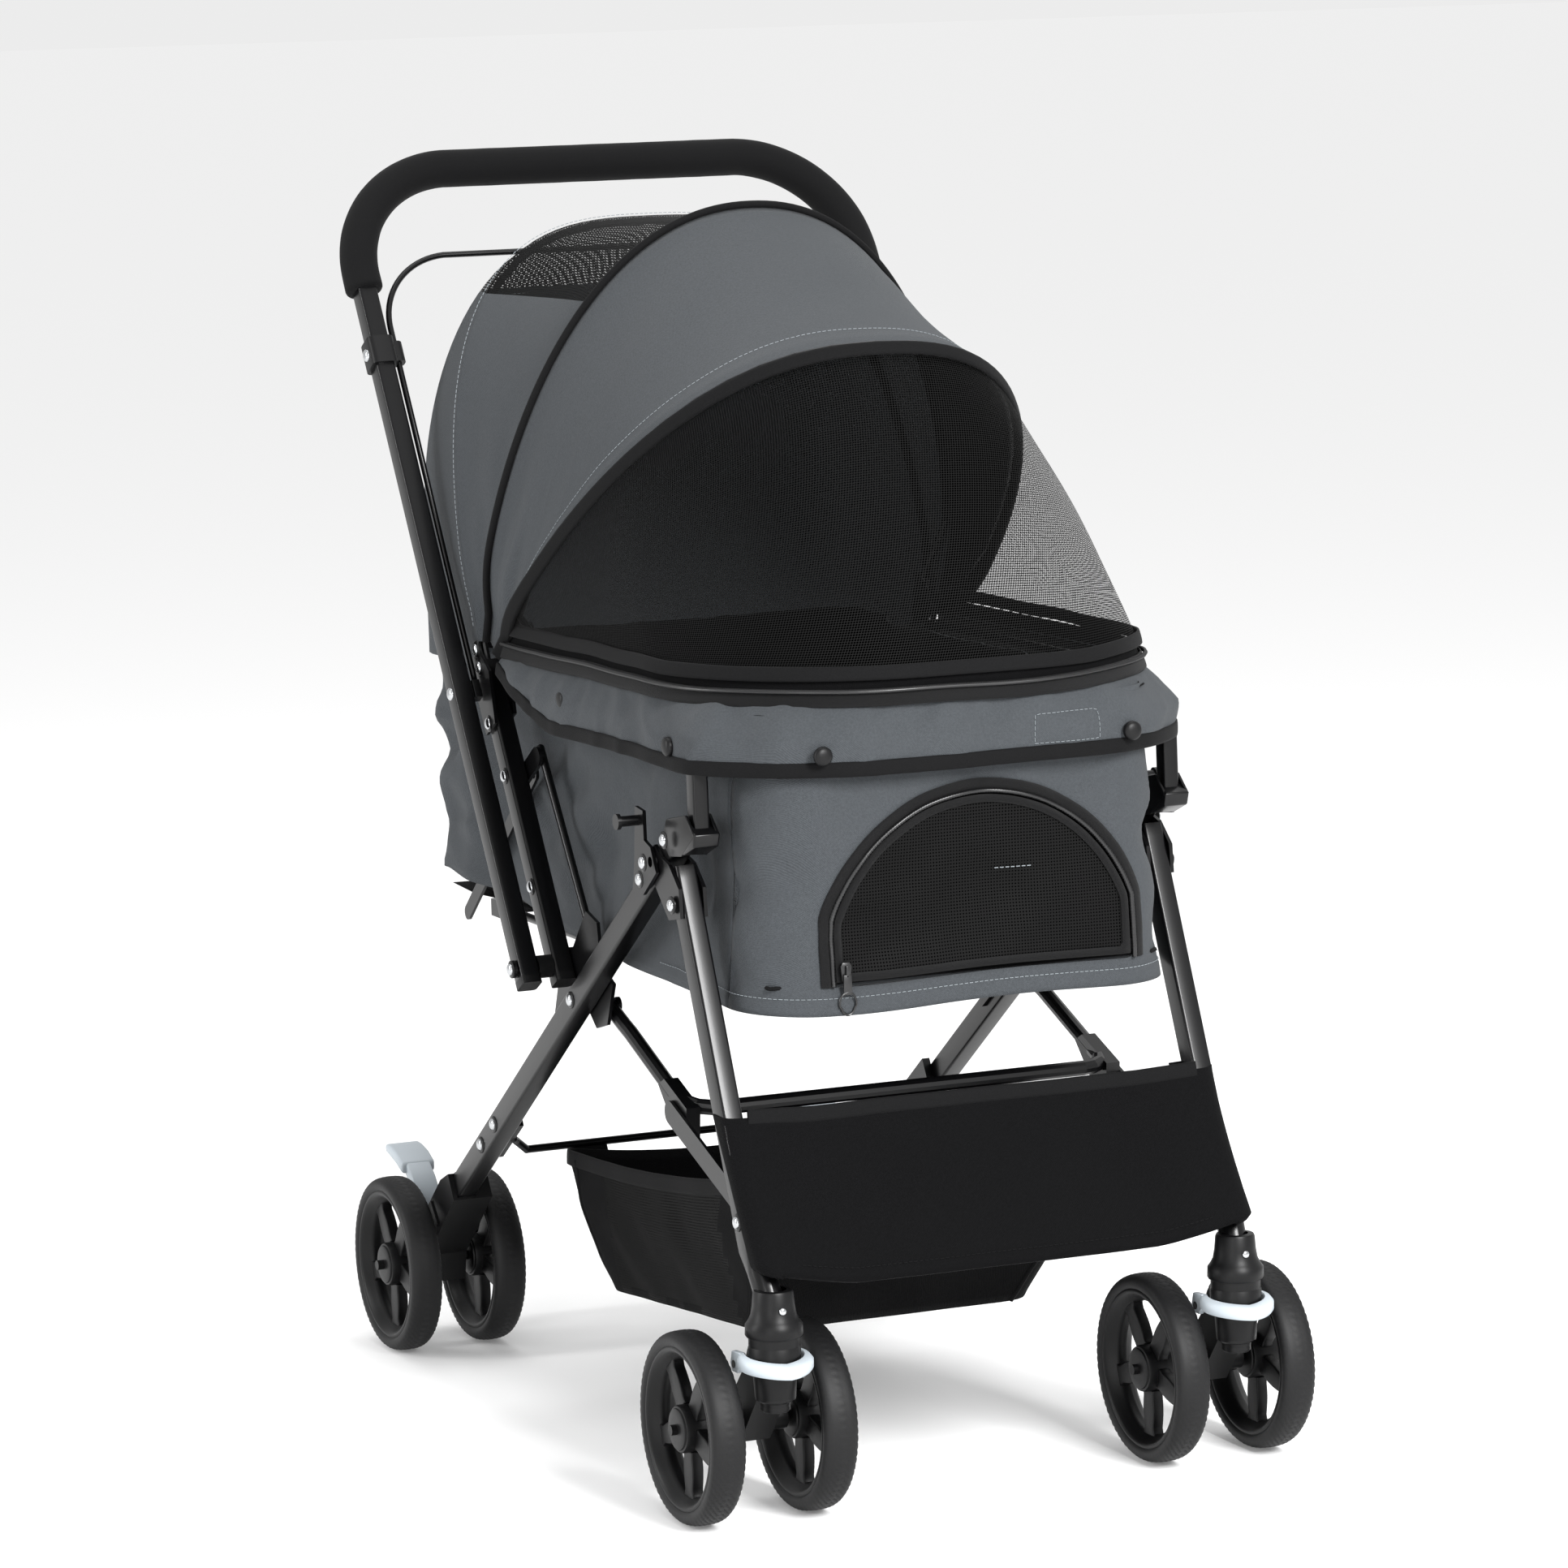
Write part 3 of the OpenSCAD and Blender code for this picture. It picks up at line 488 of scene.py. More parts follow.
def plate(name, pts, x0, x1, mat, body, slot=None, bevel=0.0015):
    # side-view outline [y, z] pushed out along X with rounded edges
    n = len(pts)
    verts = [(x, y, z) for x in (x0, x1) for y, z in pts]
    faces = [tuple(range(n)), tuple(range(n, 2 * n))[::-1]]
    for i in range(n):
        j = (i + 1) % n
        faces.append((i, i + n, j + n, j))
    o = make(name, verts, faces, mat, None, None, False)
    clean(o)
    if bevel:
        b = o.modifiers.new("bevel", "BEVEL")
        b.width = bevel
        b.segments = 3
        b.limit_method = "ANGLE"
        b.harden_normals = False
    smooth_all(o)
    return dress(o, body, slot)


def wrinkle(p, f, amp, seed=0.0):
    # smooth noise of size amp at frequency f
    return amp * noise.noise(V((p[0] * f + seed, p[1] * f - seed, p[2] * f + 2 * seed)))


def crease(a, b, amp, seed):
    # narrow soft ridges where the noise crosses zero
    n = noise.noise(V((a + seed, b - seed, seed)))
    return amp * (math.exp(-(n / 0.11) ** 2) - 0.3)


# ---------------------------------------------------------------- canopy
def arch(bow, o=0.0, foot=0.19, d0=0.0, n=81, x=0.203):
    # line o outside a bow from the left foot over to the right, starting d0 from the hinge
    ang, ln, k = bow
    a = radians(ang)
    pts = []
    for i in range(ARCH_STEPS + 1):
        t = pi * i / ARCH_STEPS
        d = (ln + o) * abs(sin(t)) ** (2 / k)
        w = (x + o) * abs(cos(t)) ** (2 / k)
        near = clip(1 - (d - 0.046) / 0.06)
        w -= (x - foot) * near * near
        if d < d0:
            continue
        pts.append(V((-w if t < pi / 2 else w, HOOD.y + d * cos(a), HOOD.z + d * sin(a))))
    return resample(pts, n)


def ruled(a, b, rows, lift):
    # rows of points from line a to line b, moved off the straight by lift
    out = []
    for k in range(rows + 1):
        f = k / rows
        row = []
        for i, (p, q) in enumerate(zip(a, b)):
            c = p.lerp(q, f)
            row.append(c + lift(i / (len(a) - 1), f, c, p, q))
        out.append(row)
    return out


def outward(p):
    # direction away from the middle of the canopy
    v = V((p.x, 0.45 * (p.y - 0.05), p.z - 0.62))
    return v.normalized()


def hood_lift(u, f, c, p, q):
    # sag, wrinkles and the sewn ridge of the hood; e fades them near the hinge
    e = min(1.0, (q - p).length / 0.12)
    sag = -0.0045 * 4 * f * (1 - f) * e
    ridge = 0.0022 * math.exp(-((f - 0.925) / 0.035) ** 2) + 0.0012 * math.exp(-((f - 0.02) / 0.02) ** 2)
    low = (1 - sin(pi * u)) ** 1.5
    w = wrinkle((u * 9 + f * 2.0, f * 2.2, 0.3), 1.0, 0.009 * (0.3 + low) * e, 3.1) * 4 * f * (1 - f)
    w += wrinkle((u * 26 + f * 6.0, f * 3.2, 0.7), 1.0, 0.0046 * low * e, 8.1) * 4 * f * (1 - f)
    w += crease(u * 13 + f * 3, f * 1.6, 0.0036, 5.2) * low * e * 4 * f * (1 - f)
    return outward(c) * (sag + ridge * e + w)


hood_a = arch(MID, 0.0045, 0.194, 0.02)
hood_b = arch(FRONT, 0.0045, 0.194, 0.02)
ahead_dir = V((0, cos(radians(FRONT[0] + 90)), sin(radians(FRONT[0] + 90))))
hood_b = [p + ahead_dir * 0.007 * min(1, (p - HOOD).length / 0.25) for p in hood_b]
hood = grid("hood_cloth", ruled(hood_a, hood_b, HOOD_ROWS, hood_lift), [GREY, FABRIC], None,
    GREY, flip=True)
apply_mods(lined(hood))
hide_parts("canopy_hood")
split = V((0, cos(radians(212)), sin(radians(212))))
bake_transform(hood)

ribbon("front_binding", hood_b, [(outward(p) * 0.8 + ahead_dir * 0.45) for p in hood_b], 0.011, 0.0021,
    BINDING, "canopy_front", FABRIC)
row = ruled(hood_a, hood_b, HOOD_ROWS, hood_lift)
stitches("hood_stitch", row[22], [outward(p) for p in row[22]], "canopy_front")
pipe = [p + outward(p) * 0.0016 for p in arch(MID, 0.0052, 0.195, 0.02, 121)]
tube("mid_piping", pipe, 0.0031, BINDING, "canopy_mid", FABRIC, 10)


def rear_lift(u, f, c, p, q):
    # sag and wrinkles of the roof cloth
    e = min(1.0, (q - p).length / 0.1)
    low = (1 - sin(pi * u)) ** 1.5
    w = wrinkle((u * 12 + f, f * 2.2, 1.3), 1.0, 0.007 * (0.4 + low) * e, 5.5) * 4 * f * (1 - f)
    return outward(c) * (-0.003 * 4 * f * (1 - f) * e + w)


rear_a = arch(MID, 0.0045, 0.194, 0.02)
rear_b = arch(REAR, 0.0045, 0.199, 0.02)
roof = grid("roof_cloth", ruled(rear_b, rear_a, 16, rear_lift), [GREY, "dark_mesh", FABRIC], None, GREY)


def split_mesh(o, z):
    # faces above height z take the second material
    bm = bmesh.new()
    bm.from_mesh(o.data)
    geom = bm.verts[:] + bm.edges[:] + bm.faces[:]
    bmesh.ops.bisect_plane(bm, geom=geom, dist=1e-5, plane_co=(0, 0, z), plane_no=(0, 0, 1))
    for f in bm.faces:
        if f.calc_center_median().z > z:
            f.material_index = 1
    bm.to_mesh(o.data)
    bm.free()
    smooth_all(o)


split_mesh(roof, SEAM)
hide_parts("canopy_rear")
split = V((0, cos(radians(177)), sin(radians(177))))
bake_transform(roof)


def back_arch(y, x, z0, z1, s, k=3.2, n=81):
    # upright arch at depth y, x wide to each side and scaled by s about its foot
    pts = []
    for i in range(ARCH_STEPS + 1):
        t = pi * i / ARCH_STEPS
        w = abs(cos(t)) ** (2 / k)
        h = abs(sin(t)) ** (2 / k)
        pts.append(V(((-x if t < pi / 2 else x) * w * s, y, z0 + (z1 - z0) * h * s)))
    return resample(pts, n)


base = resample([V((-0.197, 0.146, Z_FOOT))] + rear_b + [V((0.197, 0.146, Z_FOOT))], 81)
shell = [base]
for y, x, z1, k in ((0.262, 0.2, 0.9335, 2.95), (0.276, 0.1975, 0.9285, 3.0), (0.288, 0.192, 0.916, 3.05),
        (0.2955, 0.184, 0.902, 3.1), (0.299, 0.176, 0.888, 3.2)):
    shell.append(back_arch(y, x, Z_FOOT, z1, 1.0, k))
for s in (0.93, 0.82, 0.7, 0.56, 0.42, 0.28, 0.14, 0.02):
    shell.append(back_arch(0.3005 + 0.006 * (1 - s), 0.176, Z_FOOT, 0.888, s, 3.2))
mid_rows = []
for a in range(len(shell) - 1):
    n = 5 if a == 0 else 2
    for k in range(n):
        mid_rows.append([p.lerp(q, k / n) for p, q in zip(shell[a], shell[a + 1])])
mid_rows.append(shell[-1])
rows = []
for a, r in enumerate(mid_rows):
    line = []
    for p in r:
        e = min(1.0, a / 4)
        w = wrinkle((p.x * 14, p.y * 9, p.z * 5), 1.0, 0.0045 * e, 1.7)
        dirn = V((p.x * (1.2 if a < 14 else 0), 0.35 if a > 8 else 0.12, 0.3 * (p.z - 0.6))).normalized()
        bulge = 0.004 * sin(pi * clip((p.z - 0.6) / 0.3)) if a > 6 else 0
        line.append(p + dirn * (w * (0.5 if p.z < 0.63 else 1)) + V((0, bulge, 0)))
    rows.append(line)
shellm = grid("back_cloth", rows, [GREY, "dark_mesh", FABRIC], None, GREY, flip=True)
split_mesh(shellm, SEAM)
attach(shellm, "upright")
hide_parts("canopy_rear")
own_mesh(shellm)


def at_z(rows_, z):
    # where the grid crosses height z, from the left side over to the right side
    left, right = [], []
    k = len(rows_[0])
    for r in rows_:
        for i in range(k - 1):
            a, b = r[i], r[i + 1]
            if (a.z - z) * (b.z - z) < 0:
                p = a.lerp(b, (z - a.z) / (b.z - a.z))
                (left if i < k / 2 else right).append(p)
    return left, right


for side, pts in enumerate(at_z(rows, SEAM - 0.001)):
    if len(pts) > 3:
        s = stitches(f"back_seam_{side}", [p + V((0, 0.0006, -0.004)) for p in pts],
            [V((p.x, 0.2, 0.1)) for p in pts], "upright")
        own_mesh(s)
st = [p + outward(p) * 0.0008 for p in arch(REAR, 0.0052, 0.1995, 0.03, 161)]
stitches("rear_stitch", st, [outward(p) for p in st], "upright")

# ---------------------------------------------------------------- rim, window, zip and skirt
def u_path(x, y0, r, y1, z, n=161):
    # U round the front in plan: sides at x, front at y0, corner radius r, ends at y1
    pts = ([V((-x, y1, 0))] + arc(r - x, y0 + r, r, pi, 24) + arc(x - r, y0 + r, r, 1.5 * pi, 24)
        + [V((x, y1, 0))])
    return resample([p + V((0, 0, z)) for p in pts], n)


def side_normals(pts):
    # level outward directions along a path
    out = []
    n = len(pts)
    for i in range(n):
        w = (V(pts[min(i + 1, n - 1)]) - V(pts[max(i - 1, 0)]))
        w.z = 0
        w.normalize()
        out.append(V((w.y, -w.x, 0)))
    return out


def rim_wave(p, amp=1.0):
    return amp * (0.0022 * sin(9 * p.x + 21 * p.y) + wrinkle((p.x, p.y, 0), 11, 0.004, 2.2))


win_top = [p + ahead_dir * 0.004 for p in arch(FRONT, 0.002, 0.192, 0.035, NET_N)]
rim_line = u_path(0.197, -0.339, 0.156, RIM_END, 0.62, NET_N)
for p in rim_line:
    p.z += 0.7 * max(0, rim_wave(p))
wrows = []
for k in range(NET_ROWS + 1):
    f = k / NET_ROWS
    r = []
    for i, (a, b) in enumerate(zip(win_top, rim_line)):
        u = i / (NET_N - 1)
        c = a.lerp(b, f)
        e = min(1, (b - a).length / 0.2)
        bul = 0.006 * sin(pi * f) * e + wrinkle((u * 10, f * 2.0, 4.0), 1.0, 0.005 * e, 0.4) * sin(pi * f)
        c = c + V((c.x * 1.6, c.y - 0.1, 0.25)).normalized() * bul
        r.append(c)
    wrows.append(r)
window = grid("window_net", wrows, "black_mesh", "canopy_front", "black_mesh")
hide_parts("window_mesh")
lip = [p + V((0, 0, 0.001)) for p in rim_line]
ln = side_normals(lip)
ribbon("window_lip", [p + n * 0.002 for p, n in zip(lip, ln)],
    [(n + V((0, 0, 0.25))).normalized() for n in ln], 0.011, 0.0013, BINDING, "canopy_front", FABRIC,
    centre=0.15)

zip_line = u_path(0.2, -0.3425, RIM_R, RIM_END, 0.6105, 161)
zn = side_normals(zip_line)
for p in zip_line:
    p.z += 0.45 * rim_wave(p) - 0.0005
tape = ribbon("rim_tape", [p + n * 0.0005 - V((0, 0, 0.004)) for p, n in zip(zip_line, zn)],
    [(n + V((0, 0, 0.35))).normalized() for n in zn], 0.0135, 0.0009, "zip_tape", "cabin", "zip_tape")
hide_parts("rim_zip")
coil = resample([p + n * 0.0022 + V((0, 0, 0.0008)) for p, n in zip(zip_line, zn)], COIL_N)
tube("rim_coil", coil, 0.0019, "zip_coil", "cabin", "zip_tape", 6, wave=lambda i: 1.0 if i % 2 else 0.72)

top_path = u_path(0.2015, -0.3435, RIM_R, RIM_END, 0.606, NS)
bend = [V((x, y, SKIRT_Z)) for x, y in ((-SKIRT_X, -0.25), (-SKIRT_X, -0.295), (-0.15, SKIRT_Y),
    (-0.08, SKIRT_Y))]
low_half = [V((-SKIRT_X, RIM_END, SKIRT_Z))] + [bezier(bend, i / 24) for i in range(25)]
low_path = resample(low_half + [V((-p.x, p.y, p.z)) for p in reversed(low_half)], NS)
sn = side_normals(low_path)
total = length(low_path)
srows = []
for k in range(TS):
    t = k / (TS - 1)
    r = []
    for i in range(NS):
        s = total * i / (NS - 1)
        e = min(s, total - s)
        rise = 0.034 * max(0.0, 1 - e / 0.11) ** 1.4
        hem = 0.5565 - 0.003 * clip((e - 0.3) / 0.2) + rise
        a, b = top_path[i], low_path[i].copy()
        b.z = hem
        c = a.lerp(b, min(1, 1.7 * t))
        c.z = a.z + (b.z - a.z) * t
        out = 0.0018 * sin(pi * t) - 0.0045 * (1 - t) ** 2
        fold = (wrinkle((s * 26, 0.2 * t, 0), 1.0, 0.011, 6.6) * (0.35 + 0.65 * sin(pi * t))
            * (1.0 - 0.45 * t))
        fold += wrinkle((s * 60 + t * 2, t, 0), 1.0, 0.0052, 9.9) * (1 - t) ** 0.7
        fold += crease(s * 15, t * 0.9 + s * 2, 0.0034, 15.1) * (1 - 0.6 * t)
        out += fold * 0.8 * min(1.0, 4 * t)
        c = c + sn[i] * (out - 0.0012)
        c.z += 0.25 * wrinkle((s * 9, 0, 0), 1.0, 0.006, 3.3) * t
        r.append(c)
    srows.append(r)
hem_pts = [p + n * 0.0006 for p, n in zip(srows[-1], sn)]
skirt = grid("skirt_cloth", srows, [GREY, FABRIC], "cabin", GREY, flip=True)
apply_mods(lined(skirt, 0.001))
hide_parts("skirt")
ribbon("skirt_binding", hem_pts, sn, 0.0115, 0.0014, BINDING, "cabin", FABRIC)
web_a, web_b = u_path(0.1685, -0.3245, 0.05, 0.115, 0.5935, NS), u_path(0.1985, -0.3405, 0.156, 0.115,
    0.6065, NS)
web_c = u_path(0.1955, -0.3375, 0.155, 0.115, 0.6185, NS)
web = grid("rim_lining", [[p.lerp(q, k / 4) - V((0, 0, 0.004 * sin(pi * k / 4))) for p,
    q in zip(web_a, web_b)] for k in range(5)] + [web_c], FABRIC, "cabin", FABRIC)

# stitched outline of the small patch, laid on the nearest points of the skirt
patch = [V((0.045 + 0.055 * a, 0, 0.562 + 0.022 * b)) for a, b in ((0, 0), (1, 0), (1, 1), (0, 1), (0, 0))]
near = []
for p in resample(patch, 60):
    best = min((q for rr in srows[3:12] for q in rr[80:160] if abs(q.x - p.x) < 0.006),
        key=lambda q: abs(q.z - p.z) + abs(q.x - p.x))
    near.append(V((p.x, best.y - 0.0006, p.z)))
stitches("skirt_patch", near, [V((0, -1, 0))] * len(near), "cabin", r=0.0002)


def dome(name, c, n, r, h, mat, body, seg=20):
    # round head of radius r and height h at c, facing n
    n = V(n).normalized()
    ref = V((0, 0, 1)) if abs(n.z) < 0.9 else V((1, 0, 0))
    u = n.cross(ref).normalized()
    v = n.cross(u)
    verts, faces = [], []
    prof = [(1.0, -0.3), (1.0, 0.25), (0.93, 0.5), (0.78, 0.74), (0.55, 0.9), (0.28, 0.98)]
    for a, b in prof:
        for j in range(seg):
            t = 2 * pi * j / seg
            verts.append(V(c) + (u * cos(t) + v * sin(t)) * r * a + n * h * b)
    verts.append(V(c) + n * h)
    for k in range(len(prof) - 1):
        for j in range(seg):
            q = (j + 1) % seg
            faces.append((k * seg + j, k * seg + q, (k + 1) * seg + q, (k + 1) * seg + j))
    k = (len(prof) - 1) * seg
    for j in range(seg):
        faces.append((k + j, k + (j + 1) % seg, len(verts) - 1))
    return make(name, verts, faces, mat, body)


for i, p in enumerate([V((s * 0.2066, y, z)) for s in (-1, 1) for y,
        z in ((-0.243, 0.5672), (-0.036, 0.58))] + [V((x, -0.346, 0.5655)) for x in (-0.127, 0.127)]):
    n = V((1 if p.x > 0 else -1, 0, 0)) if abs(p.x) > 0.2 else V((0, -1, 0))
    dress(dome(f"snap_{i}", p, n, 0.0073, 0.0038, PLASTIC, None, 28), "cabin", PLASTIC)
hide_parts("snaps")

# ---------------------------------------------------------------- tub with its door
lo_f, hi_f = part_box("tub_front")
_, hi_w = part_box("tub_walls")
TX, TY0, TZ0, TZ1, TY1 = hi_w.x, lo_f.y, lo_f.z - 0.011, hi_f.z, hi_w.y
half = u_path(TX, TY0, 0.05, 0.168, 0, 801)[400:]
wide = [V((TX + 0.023 * (3 * t * t - 2 * t ** 3), 0.168 + 0.062 * t, 0))
    for t in [i / 20 for i in range(1, 21)]]
corner = arc(TX - 0.005, TY1 - 0.028, 0.028, 0, 16)
half = resample(half + wide + corner + [V((0, TY1, 0))], HALF_N)
HL = length(half)


def tub_point(s, z):
    # point of the tub wall at distance s round it and height z
    sg = 1 if s >= 0 else -1
    a = min(1.0, abs(s) / HL) * (HALF_N - 1)
    i = min(HALF_N - 2, int(a))
    p = half[i].lerp(half[i + 1], a - i)
    w = (half[min(HALF_N - 1, i + 3)] - half[max(0, i - 3)]).normalized() if i > 2 else V((1, 0, 0))
    n = V((w.y, -w.x, 0))
    rise = min(0.036, max(0, (p.y + 0.27) / 0.33 * 0.008) + max(0, (p.y - 0.06) / 0.24 * 0.027))
    zz = TZ1 - (TZ1 - z) * (TZ1 - TZ0 - rise) / (TZ1 - TZ0)
    t = (z - TZ0) / (TZ1 - TZ0)
    front = max(0.0, 1 - abs(s) / 0.2)
    side = 1 - front
    off = -0.0035 * (1 - t) ** 2 - 0.001
    off += (0.004 * front * sin(pi * min(1, t * 1.1)) + 0.013 * front * max(0.0, 1 - t * 2.0) ** 1.4
        + 0.01 * side * max(0.0, 1 - t * 2.4) ** 1.3 * clip((0.02 - p.y) / 0.1))
    f = wrinkle((s * 9, t * 1.6, 0), 1.0, 0.013, 4.4) * (0.35 + 0.65 * sin(pi * t))
    f += wrinkle((s * 22 + t * 3, t * 2.0, 0), 1.0, 0.0075, 7.7) * t
    f += wrinkle((s * 16 - t * 4.5, t * 5.0, 0), 1.0, 0.0105, 2.7) * side
    f += wrinkle((s * 34 + t * 7.0, t * 3.0, 0), 1.0, 0.0032, 6.3) * side
    f += (crease(s * 9 - t * 2.4, t * 1.6 + s * 3, 0.0042, 12.3) * side + crease(s * 8 + t * 1.2, t * 1.4,
        0.0022, 3.3) * front)
    f *= min(1.0, 0.12 + 4.5 * t)
    lim = 0.0012 if side > 0.3 else 0.003
    off += f if f < 0 else min(f * 0.6, lim + 0.2 * f)
    if z < TZ0 + 0.0115:
        off += 0.0009
    hem = 0.0035 * wrinkle((s * 7, 0, 0), 1.0, 1.0, 5.1) * (1 - t) ** 3
    return V((p.x * sg, p.y, zz + hem)) + V((n.x * sg, n.y, 0)) * off


def door_outline(o):
    # the door's outline grown by o: straight foot and sides under a round arch
    w, r = CW + o, (CW + o) * 1.06
    zc = DZ1 + o - r
    zs = zc + math.sqrt(r * r - w * w)
    pts = [V((CX - w, DZ0 - o)), V((CX - w, zs))]
    a0 = math.acos(w / r)
    for i in range(41):
        a = pi - a0 - (pi - 2 * a0) * i / 40
        pts.append(V((CX + r * cos(a), zc + r * sin(a))))
    pts += [V((CX + w, zs)), V((CX + w, DZ0 - o))]
    return pts


def inside(p, poly):
    # even-odd test of a point in an outline
    c, j = False, len(poly) - 1
    for i in range(len(poly)):
        a, b = poly[i], poly[j]
        if (a[1] > p[1]) != (b[1] > p[1]) and p[0] < (b[0] - a[0]) * (p[1] - a[1]) / (b[1] - a[1]) + a[0]:
            c = not c
        j = i
    return c


def resample2(pts, step):
    # flat outline with points about one step apart
    p3 = [V((p[0], p[1], 0)) for p in pts]
    return [V((q.x, q.y)) for q in resample(p3, max(2, int(length(p3) / step) + 1))]


def cdt(name, outer, holes, step, place, mats, body=None, slot=None):
    # evenly meshed flat piece with holes, put in space by place
    loops = [resample2(o + [o[0]], step)[:-1] for o in [outer] + holes]
    verts, edges = [], []
    for l in loops:
        b = len(verts)
        verts += l
        edges += [(b + i, b + (i + 1) % len(l)) for i in range(len(l))]
    xs, zs = [p[0] for p in loops[0]], [p[1] for p in loops[0]]
    y = min(zs) + step * 0.6
    r = 0
    while y < max(zs):
        x = min(xs) + (step * 0.5 if r % 2 else step)
        while x < max(xs):
            p = V((x, y))
            if inside(p, loops[0]) and not any(inside(p, h) for h in loops[1:]):
                near = min(((p - q).length for l in loops for q in l if abs(q.x - x) < step
                    and abs(q.y - y) < step), default=1)
                if near > 0.55 * step:
                    verts.append(p)
            x += step
        y += step * 0.87
        r += 1
    vs, _, fs, _, _, _ = delaunay_2d_cdt(verts, edges, [], 0, 1e-6)
    keep = []
    for f in fs:
        c = V((sum(vs[i].x for i in f) / len(f), sum(vs[i].y for i in f) / len(f)))
        if inside(c, loops[0]) and not any(inside(c, h) for h in loops[1:]):
            keep.append(tuple(f))
    return make(name, [place(v.x, v.y) for v in vs], keep, mats, body, slot, True, [(v.x, v.y) for v in vs])


def on_front(dy):
    # map a front-view point onto the tub, dy in front of it
    def f(x, z):
        p = tub_point(x, z)
        return V((x if abs(x) < 0.119 else p.x, p.y - dy, p.z))
    return f


outer = [V((-0.2, TZ0)), V((0.2, TZ0)), V((0.2, TZ1)), V((-0.2, TZ1))]
front = cdt("tub_a", outer, [door_outline(0.0)], 0.0065, tub_point, [GREY, FABRIC])
rest = []
for k in range(NR):
    z = TZ0 + (TZ1 - TZ0) * k / (NR - 1)
    rest.append([tub_point(s if s <= HL else s - 2 * HL, z) for s in [0.2 + (2 * HL - 0.4) * i / 220
        for i in range(221)]])
back = grid("tub_b", rest, [GREY, FABRIC])
tub = join([front, back], "tub_cloth")
clean(tub)
if sum(p.normal.y for p in tub.data.polygons if p.center.y < -0.31) > 0:
    tub.data.flip_normals()
smooth_all(tub)
apply_mods(lined(tub, 0.0013))
dress(tub, "cabin", GREY, "tub_walls", "tub_front")
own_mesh(tub)
hem_line = [tub_point(-0.33 + 0.66 * i / 240, TZ0 + 0.0125) for i in range(241)]
hn = side_normals(hem_line)
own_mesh(stitches("tub_hem_stitch", [p + n * 0.0006 for p, n in zip(hem_line, hn)], hn, "cabin"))
under = []
for k in range(13):
    y = TY0 + 0.012 + (TY1 - TY0 - 0.024) * k / 12
    w = (TX - 0.012 + 0.02 * clip((y - 0.18) / 0.05) - (0.04 * (1 - (y - TY0) / 0.05) ** 2 if y < TY0
        + 0.05 else 0))
    zz = TZ0 + 0.001 + 0.008 * clip((y + 0.27) / 0.33) + 0.012 * clip((y - 0.06) / 0.24)
    under.append([V((w * (j / 10 - 1), y, zz - 0.0015 * sin(pi * j / 20))) for j in range(21)])
bottom = grid("tub_bottom", under, FABRIC, "cabin", FABRIC)
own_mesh(bottom)

# door: tape and teeth on the tub, net panel with its own border on the door
arch_line = door_outline(-0.0005)
al = resample2(arch_line, 0.0022)


def tape_on(name, pts, inner, outer_, dy, mat, body, slot):
    # flat tape that follows the outline on the tub, from inner to outer_ beside it
    rows_ = []
    n = len(pts)
    for i, p in enumerate(pts):
        w = (pts[min(i + 1, n - 1)] - pts[max(i - 1, 0)]).normalized()
        nn = V((-w.y, w.x))
        line = []
        for a, b in ((inner, -0.0004), (inner, 0.0006), ((inner * 2 + outer_) / 3, 0.0009),
                ((inner + outer_ * 2) / 3, 0.0009), (outer_, 0.0006), (outer_, -0.0004)):
            q = p + nn * a
            line.append(on_front(dy + b)(q.x, q.y))
        rows_.append(line)
    return grid(name, rows_, mat, body, slot, uv=False)


tape_o = tape_on("door_tape_outer", al, 0.0015, 0.0095, 0.0012, "zip_tape", "cabin", "zip_tape")
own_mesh(tape_o)
teeth = [on_front(0.0022)(p.x, p.y) for p in resample2(arch_line, 0.0011)]
tube("door_teeth", teeth, 0.0021, "zip_coil", "door", "zip_tape", 6, wave=lambda i: 1.0 if i % 2 else 0.7)
net_hole = [V((p.x, max(p.y, DZ0 + 0.0075))) for p in door_outline(-0.0095)]
border = cdt("door_border", door_outline(-0.0035), [net_hole], 0.005, on_front(0.0008), "zip_tape", "door",
    "black_mesh")
thick(border, 0.0012)
net = cdt("door_net", door_outline(-0.0085), [], 0.008, on_front(0.0), "dark_mesh", "door", "black_mesh")
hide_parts("door_flap")
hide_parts("door_flap")
# black cloth sheet just inside the door net: painted shade standing in for the dark cabin seen through the net
door_shade_sheet = cdt("door_painted_shade_sheet", door_outline(-0.008), [], 0.012, on_front(-0.0035), FABRIC, "door",
    "black_mesh")
lab = [on_front(0.001)(0.02 + 0.03 * i / 8, 0.468) for i in range(9)]
stitches("door_mark", lab, [V((0, -1, 0))] * 9, "door", r=0.00035)


